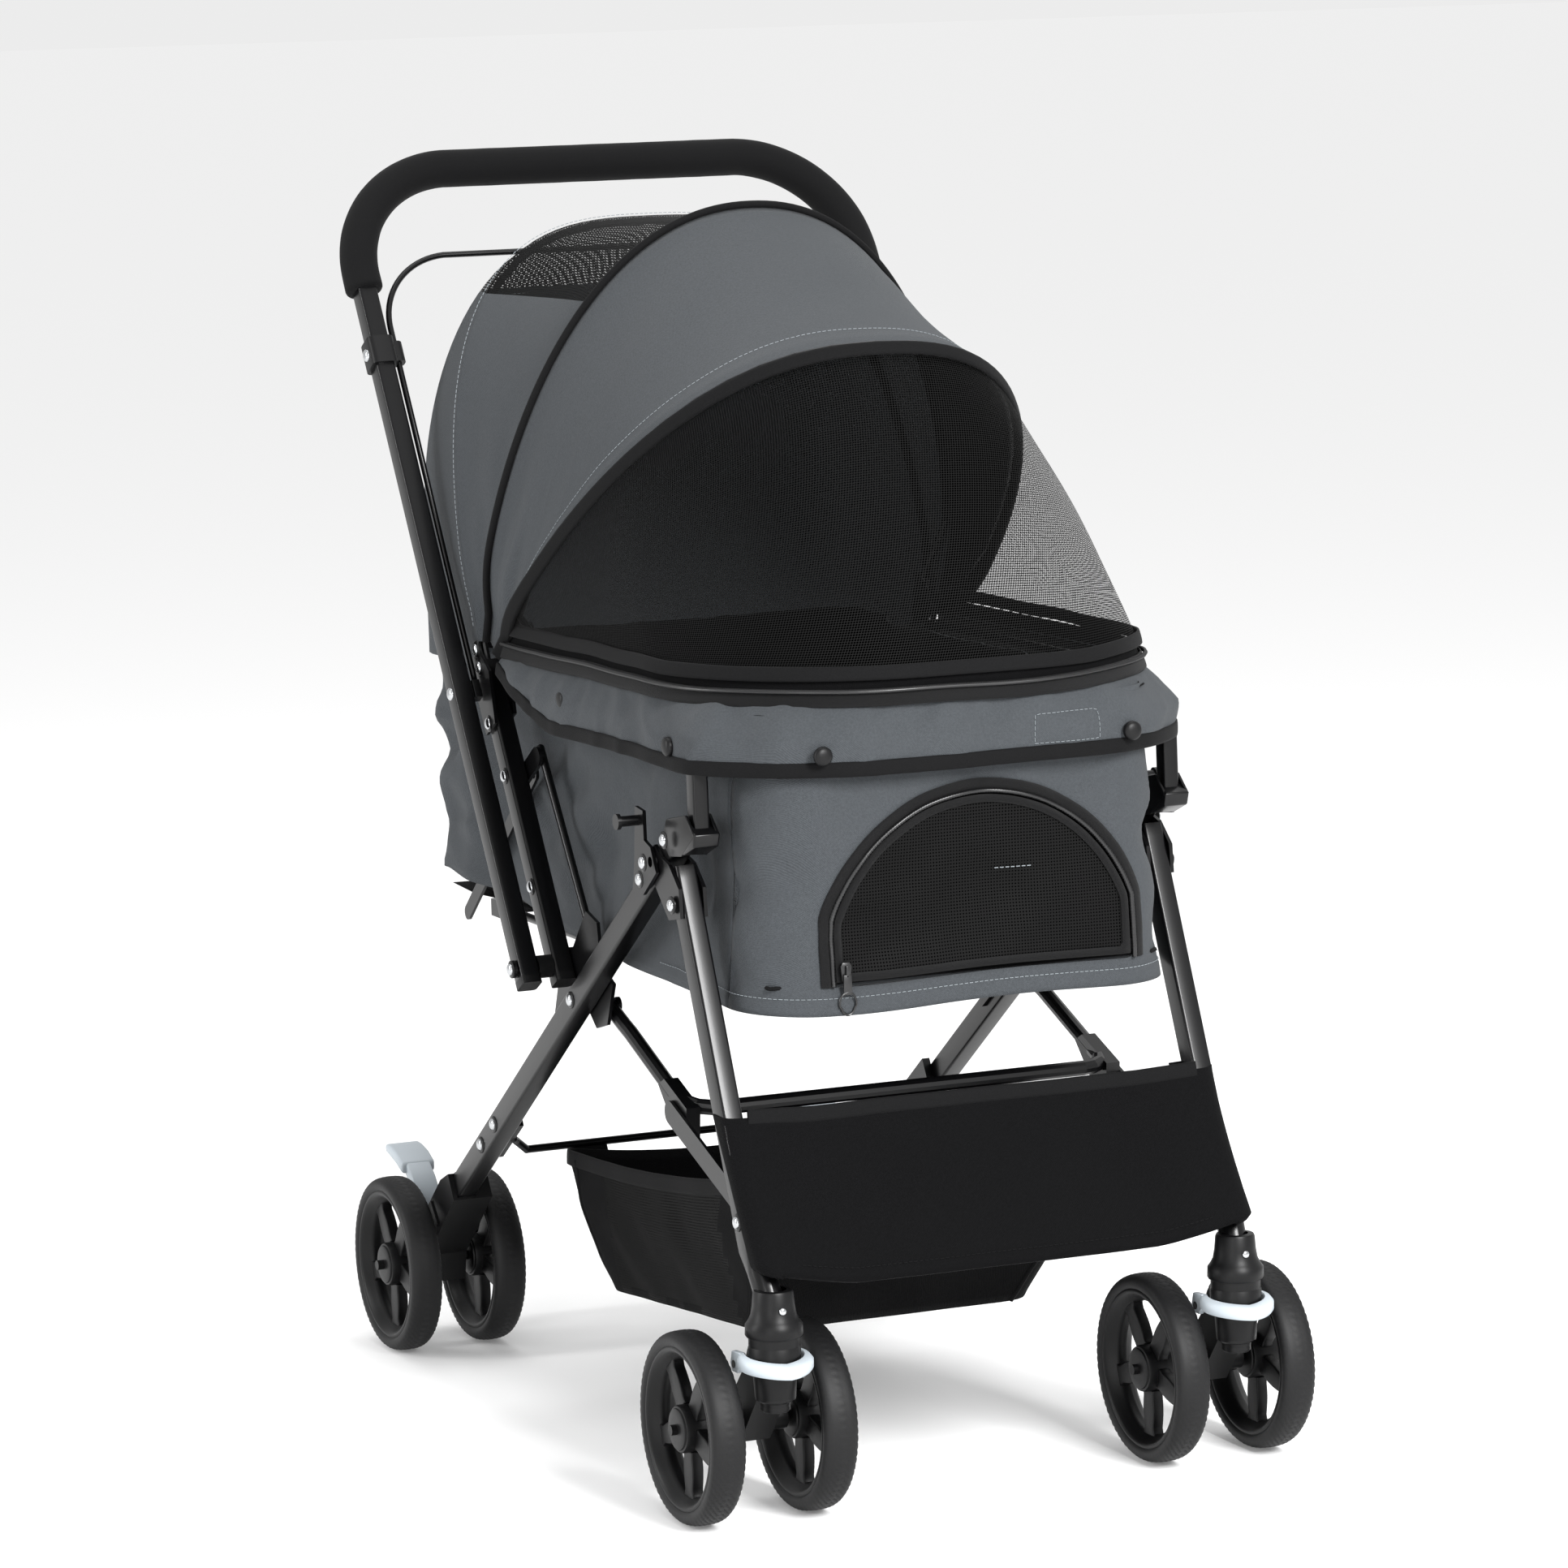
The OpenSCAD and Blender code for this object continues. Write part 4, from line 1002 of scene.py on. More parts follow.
def puller(name, top, out, down, body, slot, node, size=1.0, ring=True):
    # slider body, bridge and tab with an open ring
    out, down = V(out).normalized(), V(down).normalized()
    side = out.cross(down)
    parts = []

    def at(a, b, c):
        return V(top) + side * a * size + down * b * size + out * c * size

    def block(pts, z0, z1, nm):
        n = len(pts)
        verts = [at(a, b, z) for z in (z0, z1) for a, b in pts]
        faces = ([tuple(range(n)), tuple(range(n, 2 * n))[::-1]] + [(i, i + n, (i + 1) % n + n, (i + 1) % n)
            for i in range(n)])
        o = make(nm, verts, faces, "zip_coil", None, None, False)
        b = o.modifiers.new("b", "BEVEL")
        b.width, b.segments = 0.0005, 2
        return apply_mods(o)
    parts.append(block(mm((-4.5, -2), (-3.2, 9), (3.2, 9), (4.5, -2), (3, -5), (-3, -5)), 0.0005,
        0.0032, "pa"))
    parts.append(block(mm((-1, -3), (-1, 6), (1, 6), (1, -3)), 0.0032, 0.0058, "pb"))
    parts.append(block(mm((-3.2, 4), (-3.6, 19), (3.6, 19), (3.2, 4)), 0.0045, 0.0058, "pc"))
    if ring:
        loop = [at(0.0068 * sin(t) * (1.0 if cos(t) > -0.2 else 0.85), 0.0255 - 0.0085 * cos(t), 0.005)
            for t in [2 * pi * i / 32 for i in range(32)]]
        parts.append(tube("pd", loop, 0.0009, "zip_coil", closed=True, sides=8))
    o = join(parts, name)
    return sharp(smooth_all(dress(o, body, slot, node)))


lo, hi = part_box("door_puller")
puller("door_zip_slider", ((lo.x + hi.x) / 2, lo.y + 0.001, hi.z - 0.004), (0, -1, 0), (0, 0, -1),
    "door_pull", PLASTIC, "door_puller", 1.0)
lo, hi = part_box("rim_puller")
puller("rim_zip_slider", (lo.x - 0.001, (lo.y + hi.y) / 2, hi.z - 0.004), (1, 0, 0), (0, 0, -1), "rim_pull",
    PLASTIC, "rim_puller", 0.95, False)

# ---------------------------------------------------------------- pad, basket, front panel, grip
lo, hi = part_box("floor_pad")


def cushion(name, lo, hi, crown, mat):
    # crowned pad with a flat foot and two sewn channels
    nx, ny = 40, 64
    cx, cy = (lo.x + hi.x) / 2, (lo.y + hi.y) / 2
    hx, hy = (hi.x - lo.x) / 2 - 0.001, (hi.y - lo.y) / 2 - 0.001
    verts, faces = [], []
    for k in range(ny + 1):
        for i in range(nx + 1):
            a, b = 2 * i / nx - 1, 2 * k / ny - 1
            ea, eb = 1 - abs(a) ** 10, 1 - abs(b) ** 14
            h = max(0, ea * eb) ** 0.45
            px, py = hx * a, hy * b
            tuft = 0.0035 * math.exp(-((b * 3) % 1 - 0.5) ** 2 / 0.002) * h
            w = wrinkle((px, py, 0), 16, 0.003, 1.1) * h
            verts.append(V((cx + px, cy + py, lo.z + 0.006 + (hi.z - lo.z - 0.006) * h
                + crown * h * (1 - a * a) * (1 - b * b) - tuft + w)))
    n = (nx + 1) * (ny + 1)
    for k in range(ny + 1):
        for i in range(nx + 1):
            v = verts[k * (nx + 1) + i]
            edge = i in (0, nx) or k in (0, ny)
            verts.append(V((v.x, v.y, v.z if edge else lo.z)))
    for k in range(ny):
        for i in range(nx):
            a = k * (nx + 1) + i
            faces.append((a, a + 1, a + nx + 2, a + nx + 1))
            faces.append((n + a, n + a + nx + 1, n + a + nx + 2, n + a + 1))
    o = make(name, verts, faces, mat, None)
    clean(o, 1e-5)
    return o


pad = dress(cushion("pad_cushion", lo, hi, 0.006, "pad_fabric"), "cabin_floor", "pad_fabric", "floor_pad")
edge = []
for a, b in ((-1, -1), (1, -1), (1, 1), (-1, 1), (-1, -1)):
    edge.append(V(((lo.x + hi.x) / 2 + a * ((hi.x - lo.x) / 2 - 0.001), (lo.y + hi.y) / 2
        + b * ((hi.y - lo.y) / 2 - 0.001), lo.z + 0.006)))
pw = resample(edge, 160)
tube("pad_piping", pw[:-1], 0.0016, BINDING, "cabin_floor", "pad_fabric", 6, closed=True)

lo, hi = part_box("basket")
bx = hi.x
top = {-1: (lo.y, hi.z), 1: (hi.y, hi.z - 0.05)}
low = {-1: (lo.y + 0.069, lo.z + 0.027), 1: (hi.y - 0.036, lo.z)}


def basket_ring(t, n=120):
    # closed loop at depth t: 0 is the rim, 1 the floor
    y0 = top[-1][0] + (low[-1][0] - top[-1][0]) * t ** 0.9
    y1 = top[1][0] + (low[1][0] - top[1][0]) * t ** 0.9
    w = bx - 0.003 - 0.018 * t
    r = 0.012 + 0.02 * t
    pts = []
    for (sx, sy), a0 in zip(((1, -1), (1, 1), (-1, 1), (-1, -1)), (-pi / 2, 0, pi / 2, pi)):
        pts += arc(sx * (w - r), y0 + r if sy < 0 else y1 - r, r, a0, 6)
    pts.append(pts[0])
    pts = resample(pts, n + 1)[:-1]
    out = []
    for p in pts:
        f = (p.y - y0) / (y1 - y0)
        zt = top[-1][1] + (top[1][1] - top[-1][1]) * (p.y - top[-1][0]) / (top[1][0] - top[-1][0])
        zl = low[-1][1] + (low[1][1] - low[-1][1]) * f
        edge = abs(p.x) / w
        sagr = (-0.01 * sin(pi * f) * (edge > 0.9) * (1 - t) - 0.012 * (1 - edge ** 2) * (f > 0.9
            or f < 0.1) * (1 - t))
        q = V((p.x, p.y, zt + (zl - zt) * t + sagr))
        inn = V((p.x / w, (2 * f - 1), 0))
        bulge = 0.004 * sin(pi * t) + wrinkle(q, 24, 0.004, 3.9) * (0.3 + 0.7 * sin(pi * t))
        q += inn.normalized() * (bulge - 0.003)
        out.append(q)
    return out


brows = [basket_ring(k / 16) for k in range(17)]
bm_mats = [FABRIC, "dark_mesh"]
basket = grid("basket_cloth", brows, bm_mats, None, None, close=True)
for p in basket.data.polygons:
    c = p.center
    if abs(c.x) > 0.118 and -0.15 < c.y < 0.085 and p.normal.z < 0.7:
        p.material_index = 1
last = brows[-1]
floor = []
n = len(last)
cen = sum((V(p) for p in last), V()) / n
for s in (1.0, 0.97, 0.9, 0.75, 0.5, 0.25, 0.02):
    floor.append([V((cen.x + (p.x - cen.x) * s, cen.y + (p.y - cen.y) * s, p.z - 0.004 * (1 - s ** 2) * 2
        + wrinkle(p * s, 15, 0.004 * (1 - s), 2.0))) for p in last])
bfl = grid("basket_floor", floor, FABRIC, None, None, close=True)
zmin = lo.z - 0.001
bask = join([basket, bfl], "basket_cloth")
for v in bask.data.vertices:
    v.co.z = max(v.co.z, zmin)
smooth_all(bask)
apply_mods(thick(bask, 0.0012))
dress(bask, "rear_frame", FABRIC, "basket")
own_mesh(bask)
rim = brows[0] + [brows[0][0]]
rb = ribbon("basket_binding", rim, [V((p.x, 0.6 * (p.y + 0.045), 0)).normalized() for p in rim], 0.013,
    0.0013, BINDING, "rear_frame", FABRIC)
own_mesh(rb)
for sx in (-1, 1):
    for yy in (-1, 1):
        idx = min(range(len(brows[8])),
            key=lambda i: (V(brows[8][i]) - V((sx * bx, -0.24 if yy < 0 else 0.14, 0.13))).length)
        line = [brows[k][idx] for k in range(17)]
        t_ = tube(f"basket_seam_{sx + 1}_{yy + 1}", line, 0.0022, BINDING, "rear_frame", FABRIC, 8)
        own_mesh(t_)
for sx in (-1, 1):
    y, z = top[1]
    st_ = [V((sx * 0.11, y - 0.002, z - 0.004)), V((sx * 0.11, y + 0.004, z + 0.006)),
        V((sx * 0.11, y + 0.009, z + 0.008)), V((sx * 0.11, y + 0.01, z + 0.002)),
        V((sx * 0.11, y + 0.004, z - 0.008))]
    ribbon(f"basket_loop_{sx + 1}", resample(st_, 24), [V((0, 1, 0.4))] * 24, 0.03, 0.001, BINDING,
        "rear_frame", FABRIC)

# front panel wrapped round the front legs
lo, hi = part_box("front_panel")
PX = hi.x - 0.002
RP = 0.011


def panel_row(t, n=141):
    yf = -0.3275 + (lo.y + 0.3275) * (0.45 * t + 0.55 * t ** 1.6)
    yb = -0.2945 + (-0.357 + 0.2945) * t
    pts = [V((-0.18, yb, 0)), V((-PX + RP, yb, 0))]
    pts += arc(RP - PX, yb - RP, RP, pi / 2, 6) + arc(RP - PX, yf + RP, RP, pi, 6)
    pts += [V((-p.x, p.y, 0)) for p in reversed(pts)]
    pts = resample(pts, n)
    out = []
    for p in pts:
        c = max(0, 1 - abs(p.x) / PX)
        drop = 0.013 * min(1, c * 2.6) ** 0.7
        bot = 0.198 - drop
        z = 0.3005 - 0.0025 * min(1, c * 3) + (bot - 0.3005) * t
        q = V((p.x, p.y, z))
        if p.y < yf + 0.004:
            q.y += (0.0045 * min(1, c * 4) * sin(pi * t) * 0.8 - 0.003 * t * min(1, c * 4)
                + wrinkle((p.x, z, 0), 13, 0.004, 6.1) * min(1, c * 5))
        out.append(q)
    return out


prow = [panel_row(k / 26) for k in range(27)]
curl = []
for k in (1, 2, 3):
    curl.append([V((p.x * (1 - 0.01 * k), p.y + (0.01 * k if abs(p.x) < 0.19 else 0.001),
        max(p.z - 0.0035 * sin(k * 0.9), 0.1765))) for p in prow[-1]])
panel = grid("panel_cloth", prow + curl, FABRIC, None, FABRIC)
apply_mods(thick(panel, 0.0012))
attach(panel, "front_frame")
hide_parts("front_panel")
ribbon("panel_binding", prow[0][18:-18], [V((0, -1, 0.2))] * len(prow[0][18:-18]), 0.012, 0.0012, BINDING,
    "front_frame", FABRIC)
r0 = prow[24]
stitches("panel_stitch", [p + V((0, -0.0012, 0)) for p in r0[22:-22]], [V((0, -1, 0))] * len(r0[22:-22]),
    "front_frame", mat=BINDING, r=0.0004)

u_dir = V(J["handle_release"]["axis"]).normalized()
f_dir = V((0, -u_dir.z, u_dir.y))
lo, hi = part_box("grip")
GX = hi.x - 0.0155


def on_arm(x, d, off=0.0):
    # point d up the handle arm from its pivot
    return V((x, LIFT.y, LIFT.z)) + u_dir * d + f_dir * off


def u_bend(x, ln, start, b, n=24):
    pts = [on_arm(-x, start), on_arm(-x, ln - b)]
    for i in range(1, n):
        a = pi / 2 * i / n
        pts.append(on_arm(-x + b - b * cos(a), ln - b + b * sin(a)))
    pts += [V((-p.x, p.y, p.z)) for p in reversed(pts)]
    return pts


gp = resample(u_bend(GX, 0.7126, 0.6012, 0.097), 150)
# closer points at both ends, where the foam rounds off
gp = (gp[:1] + [gp[0].lerp(gp[1], k / 4) for k in range(1, 4)] + gp[1:-1]
    + [gp[-2].lerp(gp[-1], k / 4) for k in range(1, 4)] + gp[-1:])


def grip_w(i):
    # rounding of the foam at its ends
    n = len(gp) - 1
    e = length(gp[:i + 1]) if i < n / 2 else length(gp[i:])
    k = min(1.0, e / 0.004)
    return (0.82 + 0.18 * math.sqrt(k * (2 - k))) * (1 + 0.012 * noise.noise(V((i * 0.21, 0, 0))))


g = tube("foam_grip", gp, 0.0155, "foam", "handle", "foam", 28, wave=grip_w)
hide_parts("grip")
# ---------------------------------------------------------------- square tubes with rounded edges
def bar(name, pts, w, t, body, slot=None, node=None, r=0.0022, mat=PAINT, round_from=None,
        rr=0.008, n_side=4):
    # rounded-rectangle section swept along side-view points; it turns round after round_from
    rows = []
    fr = []
    n = len(pts)
    for i in range(n):
        a, b = V(pts[max(i - 1, 0)]), V(pts[min(i + 1, n - 1)])
        d = (b - a).normalized()
        x = V((1, 0, 0))
        x = (x - d * x.dot(d)).normalized()
        fr.append((V(pts[i]), x, d.cross(x)))
    for i, (p, x, q) in enumerate(fr):
        f = 0.0
        if round_from is not None:
            f = clip((i - round_from[0]) / max(1, round_from[1] - round_from[0]))
        a, b = t / 2 + (rr - t / 2) * f, w / 2 + (rr - w / 2) * f
        c = r + (rr - r) * f * 0.999
        c = min(c, a * 0.999, b * 0.999)
        row = []
        for sx, sy, a0 in ((1, 1, 0), (-1, 1, pi / 2), (-1, -1, pi), (1, -1, 1.5 * pi)):
            for k in range(n_side + 1):
                ang = a0 + pi / 2 * k / n_side
                row.append(p + x * (sx * (a - c) + c * cos(ang)) + q * (sy * (b - c) + c * sin(ang)))
        rows.append(row)
    k = len(rows[0])
    verts = [v for row in rows for v in row]
    faces = quads(len(rows), k, True)
    faces.append(tuple(range(k))[::-1])
    faces.append(tuple(range((len(rows) - 1) * k, len(rows) * k)))
    o = make(name, verts, faces, mat, None)
    clean(o)
    sharp(o, 50)
    return dress(o, body, slot or PAINT, *([node] if node else []))


def joined(objs, name, body, slot, *nodes):
    return dress(sharp(join(objs, name), 50), body, slot, *nodes)


def loose(o):
    # take a freshly made piece off its body again, so it can be joined into a bigger one
    world = o.matrix_world.copy()
    o.parent = None
    o.matrix_world = world
    for k in list(o.keys()):
        del o[k]
    return o


G = V(J["post_fold"]["pos_m"])
FOLD = V(J["frame_fold"]["pos_m"])
leg_dir = V((0, 0.488, -0.3563)).normalized()
front_top, front_low = V((0, -0.236, 0.474)), V((0, -0.351, 0.208))
for s, nm in SIDES:
    x = V((LX * s, 0, 0))
    a = V((LX * s, G.y, G.z)) - leg_dir * 0.008
    b = V((LX * s, 0.249, 0.1407))
    bar(f"rear_leg_{nm}", [a, b], 0.02, 0.016, "rear_frame", node="rear_legs")
    pts = [x + front_top, x + front_low]
    c0, c1 = x + front_low, V((0.191 * s, -0.377, 0.16))
    mid = V((0.193 * s, -0.3695, 0.186))
    bend = [bezier([c0, mid, c1], k / 14) for k in range(1, 15)]
    bar(f"front_leg_{nm}", [pts[0], pts[0].lerp(pts[1], 0.97)] + [pts[1]] + bend, 0.02, 0.016,
        "front_frame", node="front_legs", round_from=(1, 7), rr=0.0105)
    up = V((0, 0.5193, 0.8546))
    L0 = V((LX * s, LIFT.y, LIFT.z))
    bar(f"upright_{nm}", [L0 - up * 0.012, L0 + up * 0.262], 0.018, 0.016, "upright", node="uprights")
    A0 = V((0.224 * s, LIFT.y, LIFT.z))
    bar(f"arm_{nm}", [A0 - u_dir * 0.012, A0 + u_dir * 0.602], 0.018, 0.016, "handle", node="handle_tube")
    # plastic end caps
    bar(f"arm_cap_{nm}", [A0 - u_dir * 0.0155, A0 - u_dir * 0.009], 0.0186, 0.0166, "handle", PLASTIC,
        mat=PLASTIC, r=0.003)
    bar(f"upright_cap_{nm}", [L0 - up * 0.0155, L0 - up * 0.009], 0.0186, 0.0166, "upright", PLASTIC,
        mat=PLASTIC, r=0.003)
    bush = lathe(f"pivot_bush_{nm}", mm((0, 1), (0, 9), (12.6, 9), (12.6, 1)), PLASTIC,
        (0.203 if s > 0 else -0.2156, LIFT.y, LIFT.z), "X", 32, "upright", PLASTIC)
    sharp(bush)

for s, nm in SIDES:
    bar(f"post_{nm}", [V((LX * s, -0.2716, 0.498)), V((LX * s, -0.2695, 0.56))], 0.014, 0.0128,
        "front_post", node="front_posts")
    for x in (0.1855, 0.2045):
        apply_mods(plate(f"post_cheek_{nm}_{int(x * 1e4)}", mm((-286, 505), (-270, 519), (-234, 512),
            (-226, 496), (-238, 484), (-261, 487)), s * x - 0.0013, s * x + 0.0013, PAINT, "front_post",
            PAINT, 0.0008))
    apply_mods(plate(f"post_foot_{nm}", mm((-287, 506), (-272, 512), (-260, 505), (-258, 489), (-264, 488),
        (-284, 496)), s * LX - 0.0104, s * LX + 0.0104, PAINT, "front_post", PAINT, 0.0015))

# rivets: zinc domes on black washers
RIV = [("rear_frame", 0.2358, LIFT.y, LIFT.z), ("rear_frame", 0.2153, FOLD.y, FOLD.z),
    ("rear_frame", 0.2098, G.y, G.z), ("rear_frame", 0.2096, -0.19, 0.461),
    ("front_frame", 0.2083, -0.247, 0.449), ("rear_frame", 0.2032, -0.028, 0.344),
    ("rear_frame", 0.2032, 0.146, 0.216), ("rear_frame", 0.2032, 0.176, 0.194),
    ("front_frame", 0.2032, -0.343, 0.226), ("upright", 0.2032, 0.098, 0.505),
    ("upright", 0.2032, 0.048, 0.423), ("upright", 0.2058, HOOD.y, HOOD.z),
    ("upright", 0.2058, 0.1455, 0.6015), ("upright", 0.2058, 0.122, 0.5445)]
for k, (body, x, y, z) in enumerate(RIV):
    for s in (-1, 1):
        dome(f"washer_{k}_{s + 1}", (x * s, y, z), (s, 0, 0), 0.0068, 0.0012, PAINT, body, 24)
        dome(f"rivet_{k}_{s + 1}", (x * s + 0.0008 * s, y, z), (s, 0, 0), 0.0047, 0.0024, "zinc", body, 20)
for s in (-1, 1):
    for nm, x, d in (("arm_rivet_0", 0.2318, 0.238), ("clip_rivet", 0.235, 0.543)):
        dome(f"{nm}_{s + 1}", on_arm(x * s, d), (s, 0, 0), 0.0052, 0.0028, "zinc", "handle", 20)

# wire clips, brake pedals, swivel locks and sockets as moulded parts
for s, nm in SIDES:
    clip = []
    for x, d0, d1, w, t in ((0.224, 0.531, 0.555, 0.0242, 0.0222), (0.2115, 0.534, 0.552, 0.0125, 0.015)):
        clip.append(loose(bar("c", [on_arm(x * s, d0), on_arm(x * s, d1)], w, t, "handle", r=0.005,
            mat=PLASTIC)))
    joined(clip, f"wire_clip_{nm}", "handle", PLASTIC, "wire_clips")

wire = u_bend(0.2094, 0.632, 0.24, 0.066, 20)
tube("release_wire_rod", wire, 0.0025, PAINT, "release", PAINT, 12)
pawls = []
for s in (-1, 1):
    pawls.append(loose(bar("p1", [on_arm(0.2105 * s, 0.232), on_arm(0.2105 * s, 0.247)], 0.01, 0.0068,
        "release", r=0.001)))
joined(pawls, "release_pawls", "release", PAINT, "release_wire")

for s, nm in ((-1, "l"), (1, "r")):
    lo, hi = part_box(f"pedal_{nm}")
    cx = (lo.x + hi.x) / 2
    side = mm((332, 104.5), (329, 112), (332, 120), (346, 136.5), (358, 145.5), (372, 152), (386, 155.5),
        (396.5, 156), (396.8, 150), (386, 147), (376, 144), (362, 136), (352, 127.5), (345.5, 110),
        (340, 104))
    pl = [loose(plate("q0", side, cx - 0.0106, cx + 0.0106, "grey_plastic", "rear_frame", bevel=0.0016))]
    apply_mods(pl[0])
    top_pad = mm((358, 146.2), (372, 153), (386, 156.2), (397.2, 156.8), (397.5, 150), (386, 147),
        (372, 143), (358, 137))
    o = loose(plate("q1", top_pad, cx - 0.015, cx + 0.015, "grey_plastic", "rear_frame", bevel=0.0025))
    pl.append(apply_mods(o))
    for k in range(5):
        y = 0.3665 + 0.006 * k
        z = 0.1516 + (y - 0.3665) * 0.21
        o = loose(bar("q2", [V((cx - 0.012, y, z)), V((cx + 0.012, y, z))], 0.0022, 0.0016, "rear_frame",
            r=0.0006, mat="grey_plastic"))
        pl.append(o)
    joined(pl, f"brake_pedal_{nm}", "pedal_left" if s < 0 else "pedal_right", "grey_plastic", f"pedal_{nm}")

for s, nm, bd in ((-1, "l", "left"), (1, "r", "right")):
    cx, cy = SWIVEL_X * s, SWIVEL_Y
    z0, z1 = 0.124, 0.1345
    verts = []
    seg = 56
    for i in range(seg + 1):
        a = radians(-208) + radians(236) * i / seg
        e = abs(i / seg * 2 - 1)
        ro = 0.0285 - 0.0012 * e ** 4 + 0.0035 * math.exp(-((i / seg - 0.5) / 0.16) ** 2)
        ri = 0.0212
        dz = 0.0042 * (1 - e) ** 1.2
        prof = [(ri, z0 + 0.001), (ri, z1 - 0.001), (ri + 0.0009, z1), (ro - 0.0022, z1 - 0.0008),
            (ro, z1 - 0.0035), (ro, z0 + 0.002), (ro - 0.0014, z0)]
        for r, z in prof:
            verts.append(V((cx + r * cos(a), cy + r * sin(a), z - dz)))
    k = 7
    faces = quads(seg + 1, k, True, True)
    faces.append(tuple(range(k)))
    faces.append(tuple(range(seg * k, (seg + 1) * k))[::-1])
    cres = make("l0", verts, faces, "grey_plastic", None)
    clean(cres)
    ears = [cres]
    for e in (-1, 1):
        x = cx + e * 0.0212
        o = loose(plate("l1", mm((-366.5, 134.5), (-352, 133.5), (-349.2, 124), (-352, 118), (-361, 118),
            (-366.5, 124)), x - 0.0024, x + 0.0024, "grey_plastic", "rear_frame", bevel=0.001))
        ears.append(apply_mods(o))
    joined(ears, f"swivel_lock_{nm}", f"lock_{bd}", "grey_plastic", f"lock_{nm}")
    sock = lathe(f"socket_{nm}", mm((147, 7.5), (147, 20.5), (148.5, 21.5), (156, 21.2), (159, 19),
        (163, 17), (170, 15.8), (179.5, 15), (181.2, 14.2), (181.6, 12.8), (181.6, 10)), PLASTIC,
        (cx, cy, 0), "Z", 48, "front_frame", PLASTIC)
    sharp(sock, 40)
    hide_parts("leg_sockets")
    dome(f"socket_screw_{nm}", (cx, cy - 0.0168, 0.168), (0, -1, 0.1), 0.0028, 0.0014, "zinc",
        "front_frame", 16)
    barrel = lathe(f"barrel_{nm}", mm((90.5, 2), (90.5, 9.5), (92, 10.8), (97.5, 11.2), (99.5, 14),
        (101.5, 15.2), (118, 16.2), (124.5, 17.2), (126, 19.2), (138.5, 19.6), (140, 18.8), (146.5, 18.8),
        (146.6, 4)), PLASTIC, (cx, cy, 0), "Z", 48, f"caster_{bd}", PLASTIC)
    sharp(barrel, 40)


# ---------------------------------------------------------------- wheels
def tyre_mesh():
    # tyre about the origin with fine tread blocks
    prof = mm((-11.2, 60.8), (-12.6, 62.2), (-13.4, 64), (-13.4, 66.8), (-12.8, 69), (-11, 70.6),
        (-8.8, 71.6), (-6.6, 72.05), (-4.4, 72.3), (-2.2, 72.4), (0, 72.45))
    prof = prof + [(-h, r) for h, r in reversed(prof[:-1])]
    seg = TREAD
    rows_ = []
    for i in range(seg):
        a = 2 * pi * i / seg
        r_ = []
        for j, (h, r) in enumerate(prof):
            d = 0.0
            if 4 <= j <= len(prof) - 5:
                ph = i * 0.25 + (j % 2) * 0.5
                d = -0.0009 * max(0.0, 1 - 3.2 * abs((ph % 1) - 0.5)) * (1.0 if j not in (10,) else 0.3)
            elif j in (2, 3, len(prof) - 4, len(prof) - 3):
                d = -0.00035 if i % 2 else 0.0
            r_.append(V((h, (r + d) * cos(a), (r + d) * sin(a))))
        rows_.append(r_)
    rows_.append(rows_[0])
    o = grid("tyre_src", rows_, "tyre", uv=False)
    clean(o, 1e-6)
    return o


def rim_mesh():
    # rim, hub, caps and spokes about the origin
    parts = []
    ring = mm((-11.8, 61.2), (-12.4, 60), (-12.2, 58.5), (-10.8, 57), (-8, 54.8), (-5, 52.8), (-3.5, 51.6),
        (0, 51.2), (3.5, 51.6), (5, 52.8), (8, 54.8), (10.8, 57), (12.2, 58.5), (12.4, 60), (11.8, 61.2))
    parts.append(lathe("r0", ring, PLASTIC, (0, 0, 0), "X", 96))
    hub = mm((-12, 4.2), (-12, 15), (-11.2, 17.2), (-9, 18), (9, 18), (11.2, 17.2), (12, 15), (12, 4.2))
    parts.append(sharp(lathe("r1", hub, PLASTIC, (0, 0, 0), "X", 48), 30))
    for sx in (-1, 1):
        cap = [(0.0118 * sx, 0.0158), (0.0128 * sx, 0.0154), (0.0133 * sx, 0.014), (0.0136 * sx, 0.009),
            (0.0137 * sx, 0.0008)]
        parts.append(lathe("r2", cap, PLASTIC, (0, 0, 0), "X", 48))
    for k in range(SPOKES):
        a = -pi / 2 + 2 * pi * k / SPOKES
        side_ = []
        for i in range(13):
            t = i / 12
            r = 0.0165 + 0.0362 * t
            w = (0.0066 + 0.002 * sin(pi * min(1, t * 1.15)) + 0.0028 * max(0, t - 0.86) / 0.14
                + 0.002 * max(0, 0.12 - t) / 0.12)
            side_.append((r, w))
        out = [(r, w) for r, w in side_] + [(r, -w) for r, w in reversed(side_)]
        pts = [(r * cos(a) - w * sin(a), r * sin(a) + w * cos(a)) for r, w in out]
        o = plate("r3", pts, -0.0046, 0.0046, PLASTIC, None, bevel=0.0012)
        parts.append(apply_mods(o))
    return join(parts, "rim_src")


ty, ri = tyre_mesh(), rim_mesh()
ri.data.set_sharp_from_angle(angle=radians(40))
for a in "fr":
    for i in range(1, 5):
        for src, nm, sl in ((ty, "tyre", "tyre"), (ri, "rim", PLASTIC)):
            lo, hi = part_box(f"{nm}_{a}{i}")
            o = bpy.data.objects.new(f"{nm}_look_{a}{i}", src.data)
            bpy.context.collection.objects.link(o)
            o.location = ((lo.x + hi.x) / 2, (lo.y + hi.y) / 2, (lo.z + hi.z) / 2)
            bpy.context.view_layer.update()
            dress(o, f"wheel_{a}{i}", sl, f"{nm}_{a}{i}")
bpy.data.objects.remove(ty)
bpy.data.objects.remove(ri)

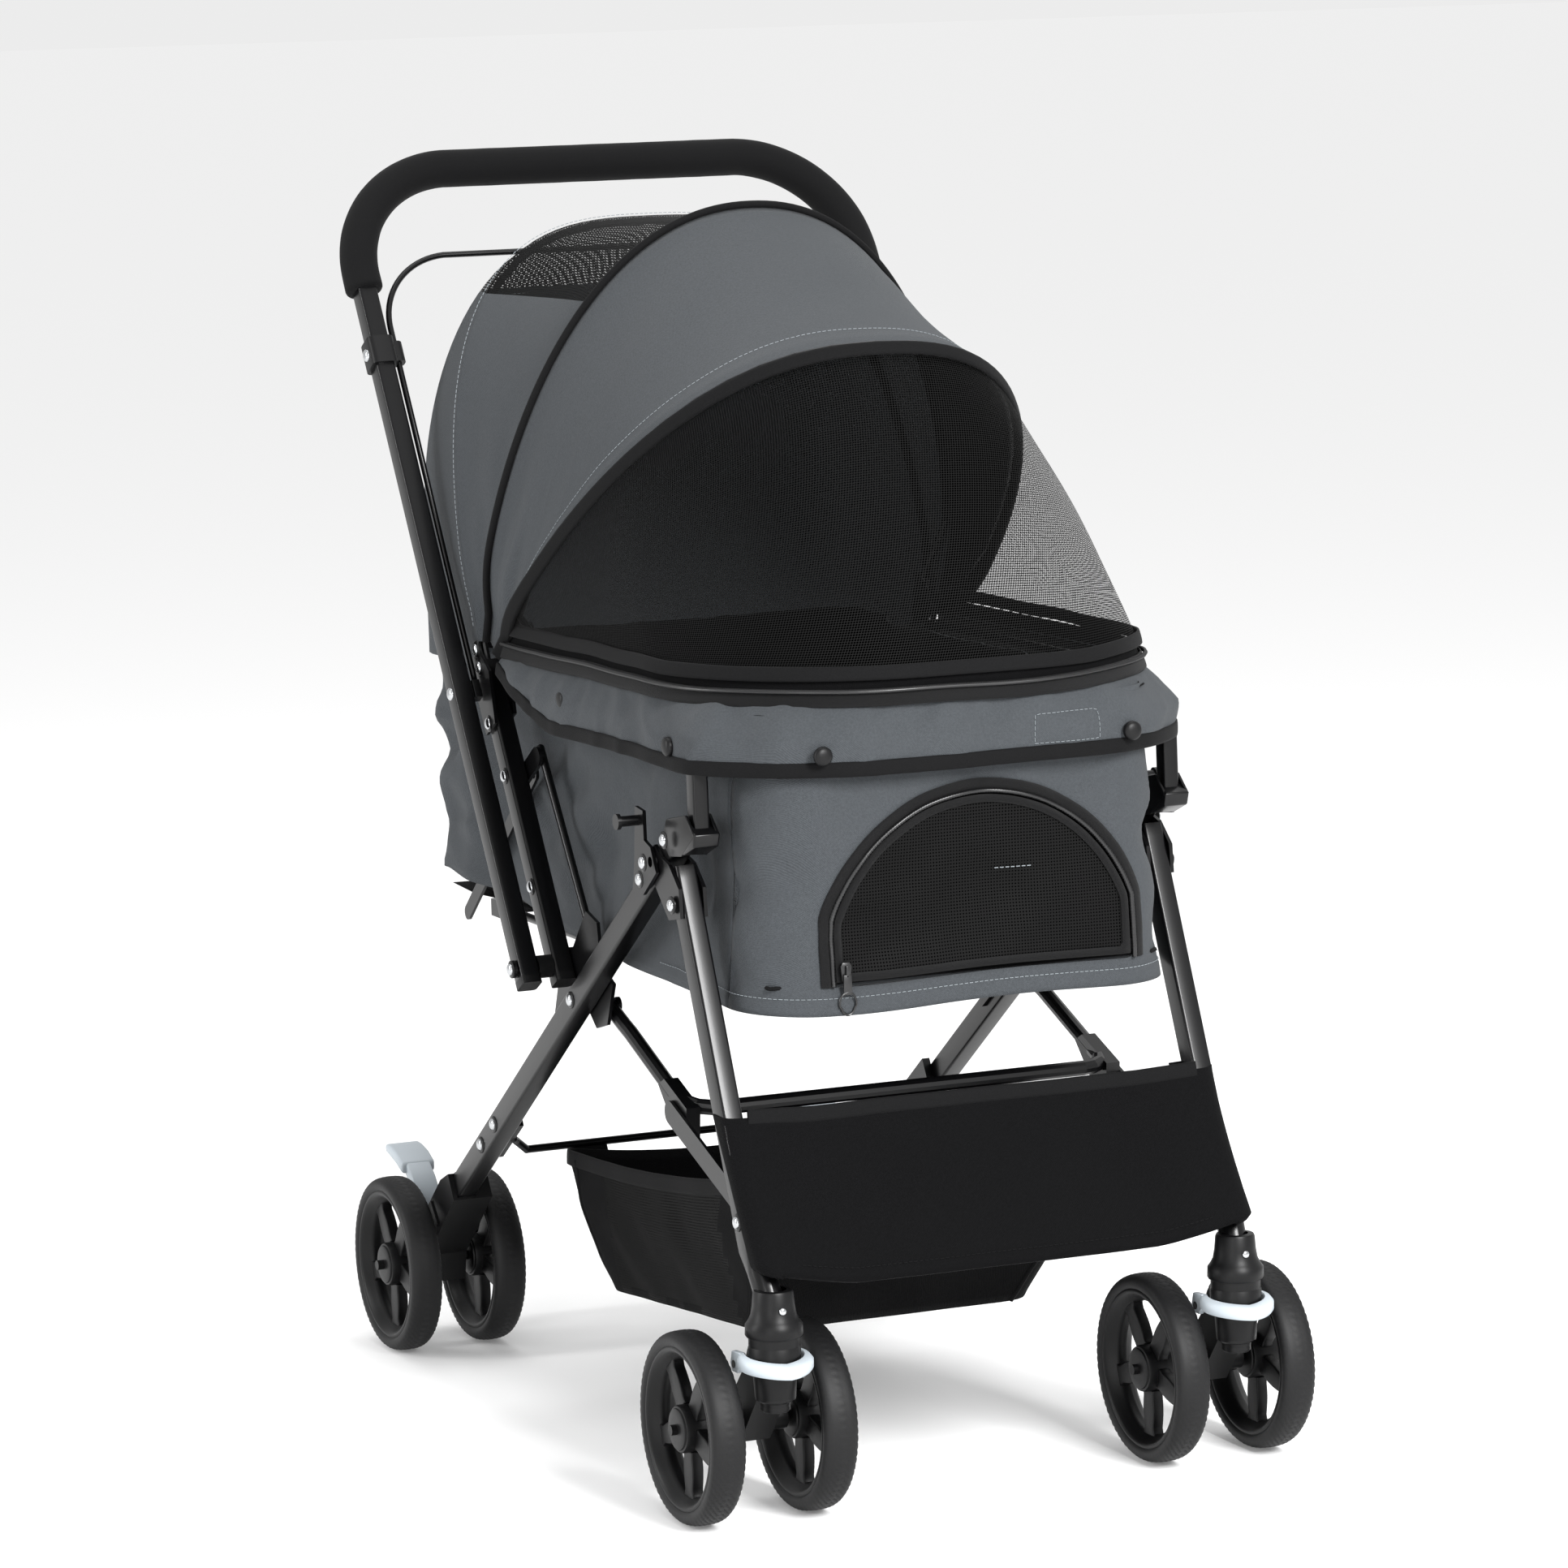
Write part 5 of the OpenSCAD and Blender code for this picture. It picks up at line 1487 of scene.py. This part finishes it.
# ---------------------------------------------------------------- studio
fl = make("studio_floor", [(-60, -60, -0.0005), (60, -60, -0.0005), (60, 60, -0.0005), (-60, 60, -0.0005)],
    [(0, 1, 2, 3)], "thread", None, None, False)
fm, _, _ = surface("studio_white", Base_Color=(0.88, 0.88, 0.88, 1), Roughness=1.0, Specular_IOR_Level=0.0,
    Emission_Color=(1, 1, 1, 1), Emission_Strength=0.12)
fl.data.materials.clear()
fl.data.materials.append(fm)
fl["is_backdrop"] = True
w = bpy.data.worlds.new("studio")
bpy.context.scene.world = w
w.use_nodes = True
set_inputs(w.node_tree.nodes["Background"], dict(Color=(1, 1, 1, 1), Strength=0.84))


def area(name, loc, target, sx, sy, power):
    # rectangular lamp of sx by sy aimed at target
    l = bpy.data.lights.new(name, "AREA")
    l.shape = "RECTANGLE"
    l.size, l.size_y, l.energy = sx, sy, power
    o = bpy.data.objects.new(name, l)
    bpy.context.collection.objects.link(o)
    o.location = loc
    o.rotation_mode = "QUATERNION"
    o.rotation_quaternion = (V(target) - V(loc)).to_track_quat("-Z", "Y")
    return o


area("key", (0.5, -3.6, 2.3), (0, 0, 0.5), 1.0, 1.4, 240)
area("side", (-3.2, 0.7, 1.5), (0, 0, 0.5), 0.4, 2.2, 52)
area("fill", (-2.2, -2.8, 0.9), (0, 0, 0.5), 0.5, 1.8, 20)
area("top", (0.3, 0.6, 3.2), (0, 0, 0.5), 2.2, 2.2, 30)

cam = bpy.data.cameras.new("camera")
cam.lens, cam.sensor_width = 140.54, 36  # millimetres
cam.clip_start, cam.clip_end = 0.05, 100
co = bpy.data.objects.new("camera", cam)
bpy.context.collection.objects.link(co)
CAMERA_AT = (-1.95109, -4.38012, 1.16818)
az, el, roll = radians(-23.956), radians(8.0), radians(-1.374)
back_v = V((sin(az) * cos(el), -cos(az) * cos(el), sin(el)))
right_v = V((cos(az), sin(az), 0))
up_v = back_v.cross(right_v)
across = right_v * cos(roll) + up_v * sin(roll)
above = -right_v * sin(roll) + up_v * cos(roll)
co.matrix_world = Matrix([(across[i], above[i], back_v[i], CAMERA_AT[i]) for i in range(3)]
    + [(0, 0, 0, 1)])
bpy.context.scene.camera = co
bpy.context.scene.view_settings.view_transform = "Standard"

lo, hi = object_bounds()
